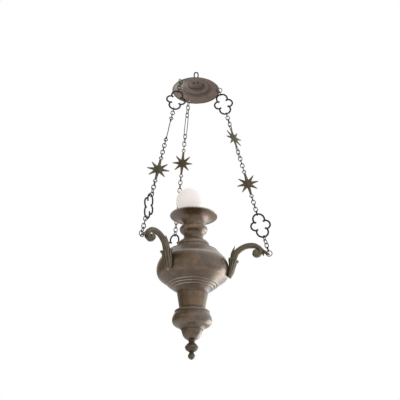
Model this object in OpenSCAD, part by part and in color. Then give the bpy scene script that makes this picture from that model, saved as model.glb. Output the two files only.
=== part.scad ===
// Hanging sanctuary lamp: a canopy on a wire loop, three ornamental chains and a turned
// brass vessel carried by three scrolled leaf arms, with a lampholder and a round opal bulb.
// Millimetres, +Z up. The origin is the inside top of the hanging loop.
// Each turned piece is drawn from its own foot upwards and then set at its height.

/* [Hanging loop] */
// Thickness of the loop's wire
loop_wire = 3; // [2.4:0.1:3.6]
// Clear width inside the loop
loop_gap = 6.4; // [5:0.1:9]
// Height from the inside top of the loop down to the canopy's edge
loop_drop = 52; // [44:1:70]

/* [Canopy] */
// Outer radius of the canopy, over its bead
canopy_r = 58; // [54:0.5:66]
// Thickness of the canopy's sheet
canopy_wall = 1.4; // [1:0.1:1.8]
// Diameter of the bead rolled round the canopy's edge
canopy_bead = 2.8; // [2:0.1:3.4]
// Rise of the conical flange from the edge to the first step
flange_rise = 7; // [5:0.5:9]
// Radius of the first step
canopy_step_r = 34; // [30:0.5:38]
// Radius of the second step
canopy_ring_r = 25; // [23.5:0.5:28]
// Radius of the dome in the middle
canopy_dome_r = 19; // [16:0.5:21]
// Height of the dome's top above the edge
canopy_rise = 24; // [21:0.5:30]
// Diameter of the three chain holes
chain_hole_d = 5.2; // [4.6:0.1:6]

/* [Chains] */
// Height from the canopy's edge down to the rim of the cup
rim_drop = 333; // [315:1:360]
// Turn of the right-hand chain and arm about the axis
right_turn = -9; // [-20:1:20]
// Turn of the back chain and arm
back_turn = 109; // [100:1:130]
// Turn of the left-hand chain and arm
left_turn = 231; // [215:1:245]
// Wire of the small links
link_wire = 1.9; // [1.7:0.1:2.1]
// Width of a small link, over its wire
link_w = 10; // [9:0.1:10.4]
// Wire of the ring at each end of a chain
end_wire = 1.8; // [1.5:0.1:2.1]
// Mean diameter of the ring at each end of a chain
end_ring_d = 13; // [12.4:0.1:14]
// Play between two links
link_slack = 0.3; // [0.2:0.05:0.4]
// Play of the lowest ring in its arm
end_slack = 0.95; // [0.7:0.05:0.95]
// Links in the five stretches of the right chain
right_links = [1, 4, 6, 5, 4];
// Links in the five stretches of the left chain
left_links = [3, 3, 5, 4, 4];
// Links in the five stretches of the back chain
back_links = [3, 4, 4, 4, 5];

/* [Quatrefoils] */
// Height over the wire
quatrefoil_h = 60; // [56:0.5:64]
// Width over the wire
quatrefoil_w = 46; // [44:0.5:48]
// Thickness of the wire
quatrefoil_wire = 3.4; // [2.8:0.1:3.5]
// Mean radius of the top and bottom lobes
long_lobe_r = 12.5; // [12:0.1:13.2]
// Mean radius of the side lobes
side_lobe_r = 9.8; // [9.4:0.1:10.4]
// Length by which each lobe runs past its neighbour as a cusp
cusp_run = 2.6; // [1.5:0.1:3.5]

/* [Stars] */
// Distance between the centres of the two eyes
star_span = 64; // [60:0.5:70]
// Reach of the six free rays
star_ray = 24.5; // [18:0.5:27]
// Radius of the valleys between the rays
star_core = 9.6; // [8.5:0.1:10.5]
// Thickness at the middle
star_ridge = 4; // [3:0.1:5]
// Thickness at the edges
star_edge = 1.2; // [0.8:0.1:1.6]
// Width of a ray's blunt tip
star_tip = 1.6; // [1.2:0.1:2.2]
// Width of the two long rays where they meet their eyes
star_bar = 3.6; // [2.6:0.1:4.6]
// Mean diameter of an eye
eye_d = 7.6; // [7.2:0.1:8.4]
// Wire of an eye
eye_wire = 2; // [1.8:0.1:2.2]

/* [Repair wires] */
// Length of the straight wire in the left chain, over its two loops
wire_link_h = 75; // [66:0.5:80]
// Thickness of the straight wire
wire_link_wire = 2; // [1.8:0.1:2.2]
// Length of the long loop in the back chain, over its wire
wire_loop_h = 50; // [44:0.5:56]
// Width of the long loop, over its wire
wire_loop_w = 10; // [9.5:0.1:12]
// Wire of the long loop
wire_loop_wire = 1.8; // [1.6:0.1:2]

/* [Cup and knops] */
// Wall of the turned pieces
wall = 1.8; // [1.4:0.1:2.2]
// Radius of the cup's rim
cup_r = 54; // [48:0.5:60]
// Height of the cup
cup_h = 28; // [25:0.5:32]
// Diameter of the bead round the cup's rim
cup_bead = 3; // [2.4:0.1:3.6]
// Radius of the cup's throat, where it stands on the upper knop
throat_r = 23; // [22.5:0.1:24.5]
// Height of the upper knop
upper_knop_h = 24; // [22:0.5:27]
// Radius of the upper knop
upper_knop_r = 31.5; // [30:0.5:35]
// Radius of the waist between the two knops
waist_r = 21.6; // [20:0.1:22.5]
// Height of the lower knop
lower_knop_h = 28; // [26:0.5:32]
// Radius of the lower knop
lower_knop_r = 36; // [34:0.5:39]
// Radius of the lower knop's foot
collar_r = 37.5; // [36:0.5:41]

/* [Bowl] */
// Height of the bowl's cover
cover_h = 27; // [24:0.5:30]
// Height of the ledge on the cover
ledge_h = 9.5; // [8:0.5:11]
// Radius of the ledge on the cover
ledge_r = 56; // [53:0.5:59]
// Radius where the cover meets the bowl
shoulder_r = 72; // [68:0.5:74]
// Depth of the lip that holds the cover in the bowl
cover_lip = 4; // [3:0.5:6]
// Height of the bowl
bowl_h = 78; // [73:1:85]
// Largest radius of the bowl
bowl_r = 80; // [77:0.5:84]
// Height of the bowl's largest radius above its foot
belly_h = 53; // [50:0.5:56]
// Width of each of the three ribs round the lower bowl
rib_w = 3.2; // [2.4:0.1:4]
// Depth of the grooves between the ribs
rib_depth = 0.9; // [0.5:0.1:1.1]
// Radius of the bowl's foot
bowl_foot_r = 33.4; // [31:0.1:35]

/* [Stem and pendant] */
// Height of the stem
stem_h = 31.6; // [28:0.2:36]
// Radius of the stem's foot
stem_foot_r = 28; // [26:0.5:30]
// Height of the pendant drop
drop_h = 47; // [44:0.5:51]
// Radius of the drop's upper lip
drop_lip_r = 38; // [36:0.5:40]
// Largest radius of the drop
drop_r = 42.8; // [41.5:0.1:46]
// Radius of the drop's foot
drop_foot_r = 23.6; // [23:0.1:26]
// Height of the cone under the drop
cone_h = 23.4; // [21:0.2:26]
// Radius of the cone's top
cone_top_r = 22.6; // [20:0.1:23]
// Radius of the cone's foot
cone_foot_r = 7.4; // [7:0.1:9]
// Height of the finial
finial_h = 40; // [37:0.5:45]
// Radius of the finial's ball
finial_r = 14.2; // [13:0.1:15]
// Radius of the finial's drop
finial_drop_r = 7.6; // [6.8:0.1:8.2]

/* [Tie rod and lampholder] */
// Diameter of the tie rod
rod_d = 8; // [6:0.5:9]
// Clearance of the rod in the pieces it passes through
rod_clear = 0.2; // [0.1:0.05:0.4]
// Depth of the rod in the finial
rod_in_finial = 14; // [10:0.5:16]
// Thickness of the floor in the upper knop
floor_h = 3; // [2:0.5:4]
// Thickness of the rod's washer
washer_h = 1.6; // [1.2:0.1:2.4]
// Height of the rod's nut
nut_h = 6; // [5:0.5:7]
// Radius of the lampholder
holder_r = 17.5; // [17:0.1:18]
// Thickness of the lampholder's base
holder_base = 9.6; // [7:0.2:12]
// Lean of the lampholder and bulb to the left
holder_lean = 8; // [0:0.5:9]

/* [Bulb] */
// Diameter of the bulb
bulb_d = 60; // [55:0.5:64]
// Length of the bulb with its cap
bulb_h = 95; // [90:1:105]
// Diameter of the bulb's cap
cap_d = 26.4; // [25:0.1:26.6]
// Height of the bulb's cap
cap_h = 26; // [24:0.5:28]
// Thickness of the glass
glass_wall = 1; // [0.8:0.1:1.6]
// Play of the cap in the lampholder
cap_clear = 0.5; // [0.35:0.05:0.7]

/* [Arms] */
// Distance of the arm's chain pivot beyond the bowl
arm_reach = 88; // [85:0.5:91]
// Height of the arm's chain pivot above the bowl's largest radius
arm_tip_rise = 30.5; // [28:0.5:33]
// Half width of the leaf that clasps the bowl
leaf_half_w = 13; // [11:0.5:14]
// Thickness of the arm's bow
bow_thick = 12.4; // [11:0.2:13.6]
// Radius of the scroll at the end of the bow
scroll_r = 10.2; // [9.6:0.2:11]
// Gap between the leaf and the bowl
leaf_gap = 0.35; // [0.3:0.05:0.6]
// Diameter of the rivet at the arm's foot
rivet_d = 4; // [3:0.25:4.5]

/* [Hidden] */

bronze = [0.36, 0.28, 0.21];
dark_bronze = [0.27, 0.23, 0.19];
olive_bronze = [0.35, 0.32, 0.23];
canopy_brown = [0.40, 0.33, 0.30];
old_brass = [0.55, 0.45, 0.26];
grey_steel = [0.52, 0.52, 0.50];
bakelite = [0.17, 0.11, 0.08];
opal = [0.96, 0.95, 0.94];

round_steps = 72;
wire_steps = 24;

// Heights of the seats between the turned pieces, from the top down
canopy_z = -loop_drop;
rim_z = canopy_z - rim_drop;
throat_z = rim_z - cup_h;
waist_z = throat_z - upper_knop_h;
collar_z = waist_z - lower_knop_h;
shoulder_z = collar_z - cover_h;
bowl_foot_z = shoulder_z - bowl_h;
stem_foot_z = bowl_foot_z - stem_h;
drop_foot_z = stem_foot_z - drop_h;
cone_foot_z = drop_foot_z - cone_h;
tip_z = cone_foot_z - finial_h;
belly_z = bowl_foot_z + belly_h;

// Curves and outlines
function unit(v) = v / norm(v);
function lerp(a, b, t) = a + (b - a) * t;
function flip(p) = [for (i = [len(p) - 1:-1:0]) p[i]];
function arc(centre, r, from, to, n) =
    [for (i = [0:n]) centre + r * [cos(lerp(from, to, i / n)), sin(lerp(from, to, i / n))]];
// Cubic curve from a to d, leaving towards b and arriving from c
function curve(a, b, c, d, n = 8) =
    [for (i = [0:n]) let (t = i / n, s = 1 - t)
        s * s * s * a + 3 * s * s * t * b + 3 * s * t * t * c + t * t * t * d];
// Smooth line through every point of p, n steps a span
function through(p, n) =
    let (last = len(p) - 1)
    concat([for (i = [0:last - 1], k = [0:n - 1])
        let (t = k / n,
             a = p[max(i - 1, 0)],
             b = p[i],
             c = p[i + 1],
             d = p[min(i + 2, last)])
        0.5 * (2 * b + (c - a) * t + (2 * a - 5 * b + 4 * c - d) * t * t
            + (3 * b - a - 3 * c + d) * t * t * t)],
        [p[last]]);
function tangent(p, i) = unit(p[min(i + 1, len(p) - 1)] - p[max(i - 1, 0)]);
// Inner face of a turned wall whose outer face p runs from the top down, with level ends
function lining(p, w, level_top = true) =
    [for (i = [len(p) - 1:-1:0])
        let (t = tangent(p, i), at_end = i == 0 && level_top || i == len(p) - 1)
        at_end ? [max(p[i].x - min(w / max(abs(t.y), 0.1), 2.5 * w), 0), p[i].y]
               : p[i] + w * [t.y, -t.x]];

module turned_shell(outer, w = wall)
    rotate_extrude($fn = round_steps) polygon(concat(outer, lining(outer, w)));
module turned_solid(outer)
    rotate_extrude($fn = round_steps)
        polygon(concat([[0, outer[0].y]], outer, [[0, outer[len(outer) - 1].y]]));
// Round bead whose outermost radius is r
module edge_bead(r, d)
    rotate_extrude($fn = round_steps) translate([r - d / 2, 0]) circle(d = d, $fn = wire_steps);
module rod_hole(from, to)
    translate([0, 0, from]) cylinder(h = to - from, d = rod_d + 2 * rod_clear, $fn = 32);
// Closed wire ring of mean diameter d, standing in the XZ plane
module wire_ring(d, wire)
    rotate([90, 0, 0]) rotate_extrude($fn = 48) translate([d / 2, 0]) circle(d = wire, $fn = wire_steps);
// Part of a wire ring in the XZ plane, from one angle to another
module wire_arc(r, wire, from, to)
    rotate([90, 0, 0]) rotate([0, 0, from])
        rotate_extrude(angle = to - from, $fn = 64) translate([r, 0]) circle(d = wire, $fn = wire_steps);
// Closed oval link of mean height h and mean width w, standing in the XZ plane
module oval_link(h, w, wire) {
    // Half of the straight run, in whole thousandths so that its ends meet the bends
    half_run = round((h - w) * 500) / 1000;
    for (side = [0, 180])
        rotate([0, side, 0]) {
            translate([0, 0, half_run]) wire_arc(w / 2, wire, 0, 180);
            translate([w / 2, 0, -half_run]) cylinder(h = 2 * half_run, d = wire, $fn = wire_steps);
        }
}

// Canopy
canopy_face = let (z = canopy_wall)
    concat(
        curve([0, canopy_rise], [canopy_dome_r * 0.6, canopy_rise],
            [canopy_dome_r, canopy_rise - 2], [canopy_dome_r + 1, canopy_rise - 5], 6),
        curve([canopy_dome_r + 1.6, flange_rise + 8.2 + z], [canopy_ring_r - 3, flange_rise + 6 + z],
            [canopy_ring_r - 2, flange_rise + 5.4 + z], [canopy_ring_r, flange_rise + 5 + z], 4),
        curve([canopy_step_r - 3, flange_rise + 4.2 + z], [canopy_step_r - 1, flange_rise + 3.8 + z],
            [canopy_step_r, flange_rise + 3 + z], [canopy_step_r + 0.6, flange_rise + z], 4),
        [[canopy_r - canopy_bead / 2, z / 2]]);
bead_at = [canopy_r - canopy_bead / 2, canopy_z];

// Chain line from the canopy's bead to the arm's pivot, in the plane of one arm
pivot_at = [bowl_r + arm_reach, belly_z + arm_tip_rise];
chain_dir = unit(pivot_at - bead_at);
chain_tilt = atan2(chain_dir.x, -chain_dir.y);
pivot_bar_r = 1.6;
end_ring_in = (end_ring_d - end_wire) / 2;
top_ring_at = bead_at + (end_ring_in - link_slack - canopy_bead / 2) * chain_dir;
low_ring_at = pivot_at - (end_ring_in - end_slack - pivot_bar_r) * chain_dir;
chain_run = norm(low_ring_at - top_ring_at);
// Where the top ring passes through the flange
flange_mid = 1.5;
chain_hole_at = top_ring_at.x
    - sqrt(pow(end_ring_d / 2, 2) - pow(canopy_z + flange_mid - top_ring_at.y, 2));

RIGHT = 0;
BACK = 1;
LEFT = 2;
function azimuth(k) = [right_turn, back_turn, left_turn][k];

// Each chain: its pendants from the top down, with their turns about the chain
pendants = [
    [["quatrefoil", 5], ["star", 52], ["star", 5], ["quatrefoil", 10]],
    [["wire_loop", 30], ["star", 65], ["star", -25], ["quatrefoil", 35]],
    [["quatrefoil", -45], ["wire_link", -45], ["star", -50], ["quatrefoil", 20]]];
link_counts = [right_links, back_links, left_links];
function links(k) = let (c = link_counts[k]) c[0] + c[1] + c[2] + c[3] + c[4];

function wire_of(kind) =
    kind == "end" ? end_wire
    : kind == "quatrefoil" ? quatrefoil_wire
    : kind == "star" ? eye_wire
    : kind == "wire_link" ? wire_link_wire
    : kind == "wire_loop" ? wire_loop_wire
    : link_wire;
// Height of a piece between the middles of its top and bottom wires; 0 for a small link
function fixed_height(kind) =
    kind == "end" ? end_ring_d
    : kind == "quatrefoil" ? quatrefoil_h - quatrefoil_wire
    : kind == "star" ? star_span + eye_d
    : kind == "wire_link" ? wire_link_h - wire_link_wire
    : kind == "wire_loop" ? wire_loop_h - wire_loop_wire
    : 0;
// All pieces of chain k in order, as [kind, turn about the chain]
function stretch(k, g) =
    let (n = link_counts[k][g],
         from = g == 0 ? 0 : pendants[k][g - 1][1],
         to = g == len(pendants[k]) ? 0 : pendants[k][g][1],
         total = to - from + 180 * round((90 * (n + 1) - to + from) / 180))
    [for (i = [1:n]) ["link", from + total * i / (n + 1)]];
function pieces(k) =
    concat([["end", 0]],
        [for (g = [0:len(pendants[k])])
            each concat(stretch(k, g), g < len(pendants[k]) ? [pendants[k][g]] : [])],
        [["end", 0]]);
function hitch(a, b) = (wire_of(a[0]) + wire_of(b[0])) / 2 + link_slack;
function sum(v, i = 0) = i < len(v) ? v[i] + sum(v, i + 1) : 0;
function middle(p) = [for (c = [0:2]) sum([for (q = p) q[c]]) / len(p)];
// Mean height that makes the small links of chain k fill its run
function link_h(k) =
    let (p = pieces(k))
    (chain_run + end_ring_d - sum([for (e = p) fixed_height(e[0])])
        + sum([for (i = [1:len(p) - 1]) hitch(p[i - 1], p[i])])) / links(k);
function height_of(k, kind) = kind == "link" ? link_h(k) : fixed_height(kind);
// Distance of the middle of piece i below the top ring's middle
function hang(k, i) =
    let (p = pieces(k))
    sum([for (j = [1:1:i])
        (height_of(k, p[j - 1][0]) + height_of(k, p[j][0])) / 2 - hitch(p[j - 1], p[j])]);
// Index in the chain of pendant g
function pendant_index(k, g) = g + 1 + sum([for (j = [0:g]) link_counts[k][j]]);

module on_chain(k, i)
    rotate([0, 0, azimuth(k)])
        translate([top_ring_at.x, 0, top_ring_at.y])
            rotate([0, -chain_tilt, 0])
                translate([0, 0, -hang(k, i)])
                    rotate([0, 0, pieces(k)[i][1]]) children();

module chain_links(k) {
    p = pieces(k);
    small_h = link_h(k);
    color(dark_bronze)
        for (i = [0:len(p) - 1]) {
            if (p[i][0] == "link") on_chain(k, i) oval_link(small_h, link_w - link_wire, link_wire);
            if (p[i][0] == "end") on_chain(k, i) wire_ring(end_ring_d, end_wire);
        }
}

// Pendants, standing in the XZ plane about their own middle
long_lobe_z = (quatrefoil_h - quatrefoil_wire) / 2 - long_lobe_r;
side_lobe_x = (quatrefoil_w - quatrefoil_wire) / 2 - side_lobe_r;
// Where the two lobes cross, by their distance apart
lobe_gap = norm([side_lobe_x, long_lobe_z]);
lobe_foot = (long_lobe_r * long_lobe_r - side_lobe_r * side_lobe_r + lobe_gap * lobe_gap)
    / (2 * lobe_gap);
lobe_half = sqrt(long_lobe_r * long_lobe_r - lobe_foot * lobe_foot);
lobe_line = [side_lobe_x, -long_lobe_z] / lobe_gap;
cusp_at = [0, long_lobe_z] + lobe_foot * lobe_line + lobe_half * [-lobe_line.y, lobe_line.x];
long_lobe_from = atan2(cusp_at.y - long_lobe_z, cusp_at.x) - cusp_run / long_lobe_r * 180 / PI;
side_lobe_to = atan2(cusp_at.y, cusp_at.x - side_lobe_x) + cusp_run / side_lobe_r * 180 / PI;
module quatrefoil()
    color(dark_bronze)
        for (side = [0, 180])
            rotate([0, side, 0]) {
                translate([0, 0, long_lobe_z])
                    wire_arc(long_lobe_r, quatrefoil_wire, long_lobe_from, 180 - long_lobe_from);
                translate([side_lobe_x, 0, 0])
                    wire_arc(side_lobe_r, quatrefoil_wire, -side_lobe_to, side_lobe_to);
            }

// Outline of the star: two points at each ray's tip and one in each valley
ray_count = 8;
ray_step = 360 / ray_count;
function ray_reach(i) = i % 4 == 0 ? (star_span - eye_d) / 2 : star_ray;
function ray_tip(i) = i % 4 == 0 ? star_bar : star_tip;
star_rim = [for (i = [0:ray_count - 1])
    let (a = 90 + i * ray_step,
         along = [cos(a), sin(a)],
         across = [-sin(a), cos(a)],
         v = a + ray_step / 2)
    each [ray_reach(i) * along - ray_tip(i) / 2 * across,
          ray_reach(i) * along + ray_tip(i) / 2 * across,
          star_core * [cos(v), sin(v)]]];
star_points = let (n = len(star_rim))
    concat([[0, -star_ridge / 2, 0], [0, star_ridge / 2, 0]],
        [for (p = star_rim) [p.x, -star_edge / 2, p.y]],
        [for (p = star_rim) [p.x, star_edge / 2, p.y]]);
star_faces = let (n = len(star_rim))
    [for (i = [0:n - 1]) let (a = 2 + i, b = 2 + (i + 1) % n)
        each [[0, b, a], [1, n + a, n + b], [a, b, n + b], [a, n + b, n + a]]];
module star()
    color(dark_bronze) {
        polyhedron(star_points, star_faces);
        for (end = [-1, 1])
            translate([0, 0, end * star_span / 2]) wire_ring(eye_d, eye_wire);
    }

wire_loop_in = 7.4;
module wire_link() {
    eye_mid = (wire_link_h - wire_link_wire - wire_loop_in) / 2;
    color(dark_bronze) {
        translate([0, 0, -eye_mid + wire_loop_in / 2])
            cylinder(h = 2 * eye_mid - wire_loop_in, d = wire_link_wire, $fn = wire_steps);
        for (end = [-1, 1])
            translate([0, 0, end * eye_mid]) wire_ring(wire_loop_in, wire_link_wire);
    }
}

module wire_loop()
    color(dark_bronze)
        oval_link(wire_loop_h - wire_loop_wire, wire_loop_w - wire_loop_wire, wire_loop_wire);

module canopy_plate()
    color(canopy_brown)
        difference() {
            translate([0, 0, canopy_z]) {
                rotate_extrude($fn = round_steps)
                    polygon(concat(canopy_face, flip([for (i = [0:len(canopy_face) - 1])
                        let (t = tangent(canopy_face, i), p = canopy_face[i])
                        i == 0 ? [0, p.y - canopy_wall] : p + canopy_wall * [t.y, -t.x]])));
                edge_bead(canopy_r, canopy_bead);
            }
            for (k = [RIGHT, BACK, LEFT])
                rotate([0, 0, azimuth(k)])
                    translate([chain_hole_at, 0, canopy_z - flange_rise])
                        cylinder(h = 3 * flange_rise, d = chain_hole_d, $fn = 32);
            for (side = [-1, 1])
                translate([side * loop_leg_x, 0, canopy_z])
                    cylinder(h = 2 * canopy_rise, d = loop_wire + 2 * leg_clear, $fn = 32);
        }

// The loop's two legs pass through the dome and are burred over beneath it
loop_leg_x = (loop_gap + loop_wire) / 2;
leg_clear = 0.2;
burr_h = 1.6;
burr_d = loop_wire + 2;
dome_under_z = canopy_z + canopy_rise - canopy_wall - 1.2;
module hanging_loop()
    color(dark_bronze) {
        translate([0, 0, -loop_gap / 2]) wire_arc(loop_leg_x, loop_wire, 0, 180);
        for (side = [-1, 1])
            translate([side * loop_leg_x, 0, 0]) {
                translate([0, 0, dome_under_z])
                    cylinder(h = -loop_gap / 2 - dome_under_z, d = loop_wire, $fn = wire_steps);
                translate([0, 0, dome_under_z - burr_h])
                    cylinder(h = burr_h, d1 = burr_d - 1, d2 = burr_d, $fn = wire_steps);
            }
    }

// Cup, knops and cover
module drip_cup()
    color(bronze)
        translate([0, 0, throat_z]) {
            face = curve([cup_r - cup_bead / 2, cup_h - cup_bead], [cup_r * 0.64, cup_h * 0.84],
                [throat_r + 1.5, cup_h * 0.68], [throat_r, 0], 14);
            rotate_extrude($fn = round_steps) polygon(concat(face, lining(face, wall, false)));
            translate([0, 0, cup_h - cup_bead / 2]) edge_bead(cup_r, cup_bead);
        }

knop_edge = 0.5;
module upper_knop() {
    step_z = upper_knop_h * knop_edge;
    face = concat(
        curve([throat_r, upper_knop_h], [upper_knop_r - 2, upper_knop_h],
            [upper_knop_r, upper_knop_h * 0.88], [upper_knop_r, upper_knop_h * 0.76], 6),
        curve([upper_knop_r - 0.1, upper_knop_h * 0.7], [upper_knop_r - 0.2, upper_knop_h * 0.62],
            [upper_knop_r - 1, step_z + 1], [upper_knop_r - 2, step_z], 4),
        curve([upper_knop_r - 4.2, step_z - 0.8], [waist_r + 2, step_z * 0.6],
            [waist_r, step_z * 0.4], [waist_r, 0], 6));
    color(bronze)
        translate([0, 0, waist_z])
            difference() {
                union() {
                    turned_shell(face);
                    cylinder(h = floor_h, r = waist_r - wall / 2, $fn = round_steps);
                }
                rod_hole(-1, floor_h + 1);
            }
}

module lower_knop() {
    ring_h = lower_knop_h * 0.62;
    face = concat(
        curve([waist_r, lower_knop_h], [waist_r, lower_knop_h * 0.82],
            [waist_r + 1, lower_knop_h * 0.72], [waist_r + 3.4, ring_h + 1.6], 4),
        curve([waist_r + 5.4, ring_h + 1], [lower_knop_r - 3, ring_h * 0.82],
            [lower_knop_r, ring_h * 0.66], [lower_knop_r, ring_h * 0.42], 6),
        curve([lower_knop_r - 0.3, ring_h * 0.3], [lower_knop_r - 0.8, ring_h * 0.22],
            [lower_knop_r - 0.8, ring_h * 0.16], [lower_knop_r, 2.2], 3),
        [[collar_r, 1.6], [collar_r, 0]]);
    color(bronze) translate([0, 0, collar_z]) turned_shell(face);
}

cover_seat = 3;
module bowl_cover() {
    ledge_z = cover_h - ledge_h;
    face = concat(
        curve([collar_r - 1, cover_h], [collar_r + 5, cover_h - 1],
            [ledge_r - 7, ledge_z + 3.4], [ledge_r - 0.6, ledge_z + 1.4], 5),
        [[ledge_r, ledge_z + 0.4], [ledge_r - 0.4, ledge_z - 0.8]],
        curve([ledge_r + 1.4, ledge_z - 2], [ledge_r + 5, ledge_z - 5],
            [shoulder_r - 4, 4], [shoulder_r, 0], 6));
    lip_out = shoulder_r - 1.6 * wall;
    lip_in = lip_out - cover_seat;
    lip = [[lip_out, 0], [lip_out, -cover_lip], [lip_in, -cover_lip]];
    inner = [for (p = lining(face, wall)) if (p.x < lip_in - 0.2) p];
    color(bronze)
        translate([0, 0, shoulder_z])
            rotate_extrude($fn = round_steps) polygon(concat(face, lip, inner));
}

// Outer face of the bowl from the shoulder down, with three ribs on its lower cone
cone_from = [bowl_r * 0.9, belly_h * 0.64];
cone_to = [bowl_foot_r + 4.2, 7.6];
cone_dir = unit(cone_to - cone_from);
cone_out = [-cone_dir.y, cone_dir.x];
rib_count = 3;
rib_start = 0.46;
function rib_edge(i) =
    let (foot = lerp(cone_from, cone_to, rib_start) + i * 2.2 * rib_w * cone_dir)
    [foot, foot + 0.2 * rib_w * cone_dir + rib_depth * cone_out,
     foot + 0.8 * rib_w * cone_dir + rib_depth * cone_out, foot + rib_w * cone_dir];
bowl_face = concat(
    curve([shoulder_r, bowl_h], [shoulder_r + 3, bowl_h - 4],
        [bowl_r, belly_h + 12], [bowl_r, belly_h], 8),
    curve([bowl_r - 0.05, belly_h - 2], [bowl_r - 0.6, belly_h - 9],
        [cone_from.x + 5, cone_from.y + 4], cone_from, 6),
    [for (i = [0:rib_count - 1]) each rib_edge(i)],
    curve(cone_to, cone_to + 4 * cone_dir, [bowl_foot_r + 0.6, 3], [bowl_foot_r, 0], 4));
// The same outline as height and radius, for the arms to lie against
bowl_reach = [for (p = flip(bowl_face)) [p.y + bowl_foot_z, p.x]];
function bowl_at(z) = lookup(z, bowl_reach);

module bowl() {
    color(bronze)
        difference() {
            translate([0, 0, bowl_foot_z]) turned_shell(bowl_face);
            for (k = [RIGHT, BACK, LEFT])
                at_rivet(k) translate([0, 0, -4 * wall]) cylinder(h = 8 * wall, d = rivet_d, $fn = 24);
        }
}

// Stem, pendant and finial
module stem() {
    face = curve([bowl_foot_r, stem_h], [bowl_foot_r - 1.6, stem_h * 0.7],
        [stem_foot_r + 1.4, stem_h * 0.3], [stem_foot_r, 0], 8);
    color(bronze) translate([0, 0, stem_foot_z]) turned_shell(face);
}

module pendant_drop() {
    lip_z = drop_h * 0.815;
    belly = drop_h * 0.44;
    under = drop_h * 0.165;
    face = concat(
        curve([stem_foot_r + 1, drop_h], [stem_foot_r + 1, drop_h - 3],
            [drop_lip_r - 6, lip_z + 3.6], [drop_lip_r - 0.6, lip_z + 2.2], 6),
        [[drop_lip_r, lip_z + 1.4], [drop_lip_r - 0.2, lip_z]],
        curve([drop_lip_r - 0.8, lip_z - 1.8], [drop_lip_r + 0.4, lip_z - 5],
            [drop_r, belly + 6.4], [drop_r, belly], 8),
        curve([drop_r - 0.2, belly - 2], [drop_r - 0.6, belly - 7],
            [drop_r - 3.4, under + 2.4], [drop_r - 7.4, under + 0.4], 6),
        curve([drop_r - 9.2, under - 0.4], [drop_r - 13.8, under - 2.2],
            [drop_foot_r + 2, 3.4], [drop_foot_r, 0], 6));
    color(bronze) translate([0, 0, drop_foot_z]) turned_shell(face);
}

module pendant_cone() {
    face = concat(
        curve([cone_top_r, cone_h], [cone_top_r - 1, cone_h * 0.72],
            [cone_top_r - 3, cone_h * 0.44], [cone_top_r - 6.8, cone_h * 0.28], 8),
        curve([cone_top_r - 8.4, cone_h * 0.21], [cone_foot_r + 4, cone_h * 0.12],
            [cone_foot_r + 1.4, cone_h * 0.08], [cone_foot_r, 0], 5));
    color(bronze)
        translate([0, 0, cone_foot_z])
            difference() {
                turned_solid(face);
                rod_hole(-1, cone_h + 1);
            }
}

module finial() {
    ball_z = finial_h * 0.66;
    drop_z = finial_h * 0.19;
    neck_r = 5.4;
    face = concat(
        [[cone_foot_r - 0.6, finial_h], [cone_foot_r - 0.6, finial_h - 1.4]],
        curve([neck_r + 0.6, finial_h - 2.6], [neck_r + 0.2, ball_z + 9.6],
            [neck_r + 3.4, ball_z + 8.4], [finial_r * 0.8, ball_z + 5], 5),
        curve([finial_r, ball_z + 1], [finial_r, ball_z - 4.8],
            [finial_r * 0.68, ball_z - 8], [neck_r - 0.2, ball_z - 9.8], 7),
        curve([neck_r - 0.8, ball_z - 11], [neck_r - 0.8, drop_z + 5.4],
            [finial_drop_r, drop_z + 4.2], [finial_drop_r, drop_z + 0.6], 5),
        curve([finial_drop_r - 0.2, drop_z - 1], [finial_drop_r - 0.8, drop_z - 4.6],
            [3, 1.2], [1.2, 0], 5));
    color(bronze)
        translate([0, 0, tip_z])
            difference() {
                turned_solid(face);
                translate([0, 0, finial_h - rod_in_finial])
                    cylinder(h = rod_in_finial + 1, d = rod_d, $fn = 32);
            }
}

// Tie rod, nut and lampholder
washer_z = waist_z + floor_h;
nut_z = washer_z + washer_h;
holder_z = nut_z + nut_h;
rod_above_nut = 2;
module tie_rod() {
    from = cone_foot_z - rod_in_finial;
    color(grey_steel)
        translate([0, 0, from])
            cylinder(h = holder_z + rod_above_nut - from, d = rod_d, $fn = 32);
}

module rod_washer()
    color(grey_steel)
        difference() {
            translate([0, 0, washer_z]) cylinder(h = washer_h, r = rod_d, $fn = 48);
            rod_hole(washer_z - 1, nut_z + 1);
        }

nut_round = 1.85;
module rod_nut()
    color(grey_steel)
        difference() {
            translate([0, 0, nut_z]) rotate([0, 0, 30]) cylinder(h = nut_h, d = nut_round * rod_d, $fn = 6);
            translate([0, 0, nut_z - 1]) cylinder(h = nut_h + 2, d = rod_d, $fn = 32);
        }

// The lampholder leans from the left edge of the nut
module leaning()
    translate([-nut_round * rod_d / 2 * cos(30), 0, holder_z])
        rotate([0, -holder_lean, 0])
            translate([nut_round * rod_d / 2 * cos(30), 0, 0]) children();

holder_bore = cap_d / 2 + cap_clear;
holder_collar = 6;
contact_h = 2.4;
tip_gap = 0.4;
holder_h = holder_base + contact_h + tip_gap + cap_h - 1;
module lampholder()
    color(bakelite)
        leaning()
            difference() {
                rotate_extrude($fn = round_steps)
                    polygon([[0, 0], [holder_r - 3, 0], [holder_r - 1, 2],
                        [holder_r - 1, holder_h - holder_collar],
                        [holder_r, holder_h - holder_collar + 1], [holder_r, holder_h - 1],
                        [holder_r - 1, holder_h], [0, holder_h]]);
                translate([0, 0, holder_base]) cylinder(h = holder_h, r = holder_bore, $fn = 48);
                translate([0, 0, -1])
                    cylinder(h = rod_above_nut + 2, d = rod_d + 6 * rod_clear, $fn = 32);
            }

module lampholder_contact()
    color(old_brass)
        leaning()
            translate([0, 0, holder_base]) cylinder(h = contact_h, d1 = 12, d2 = 7, $fn = 32);

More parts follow.
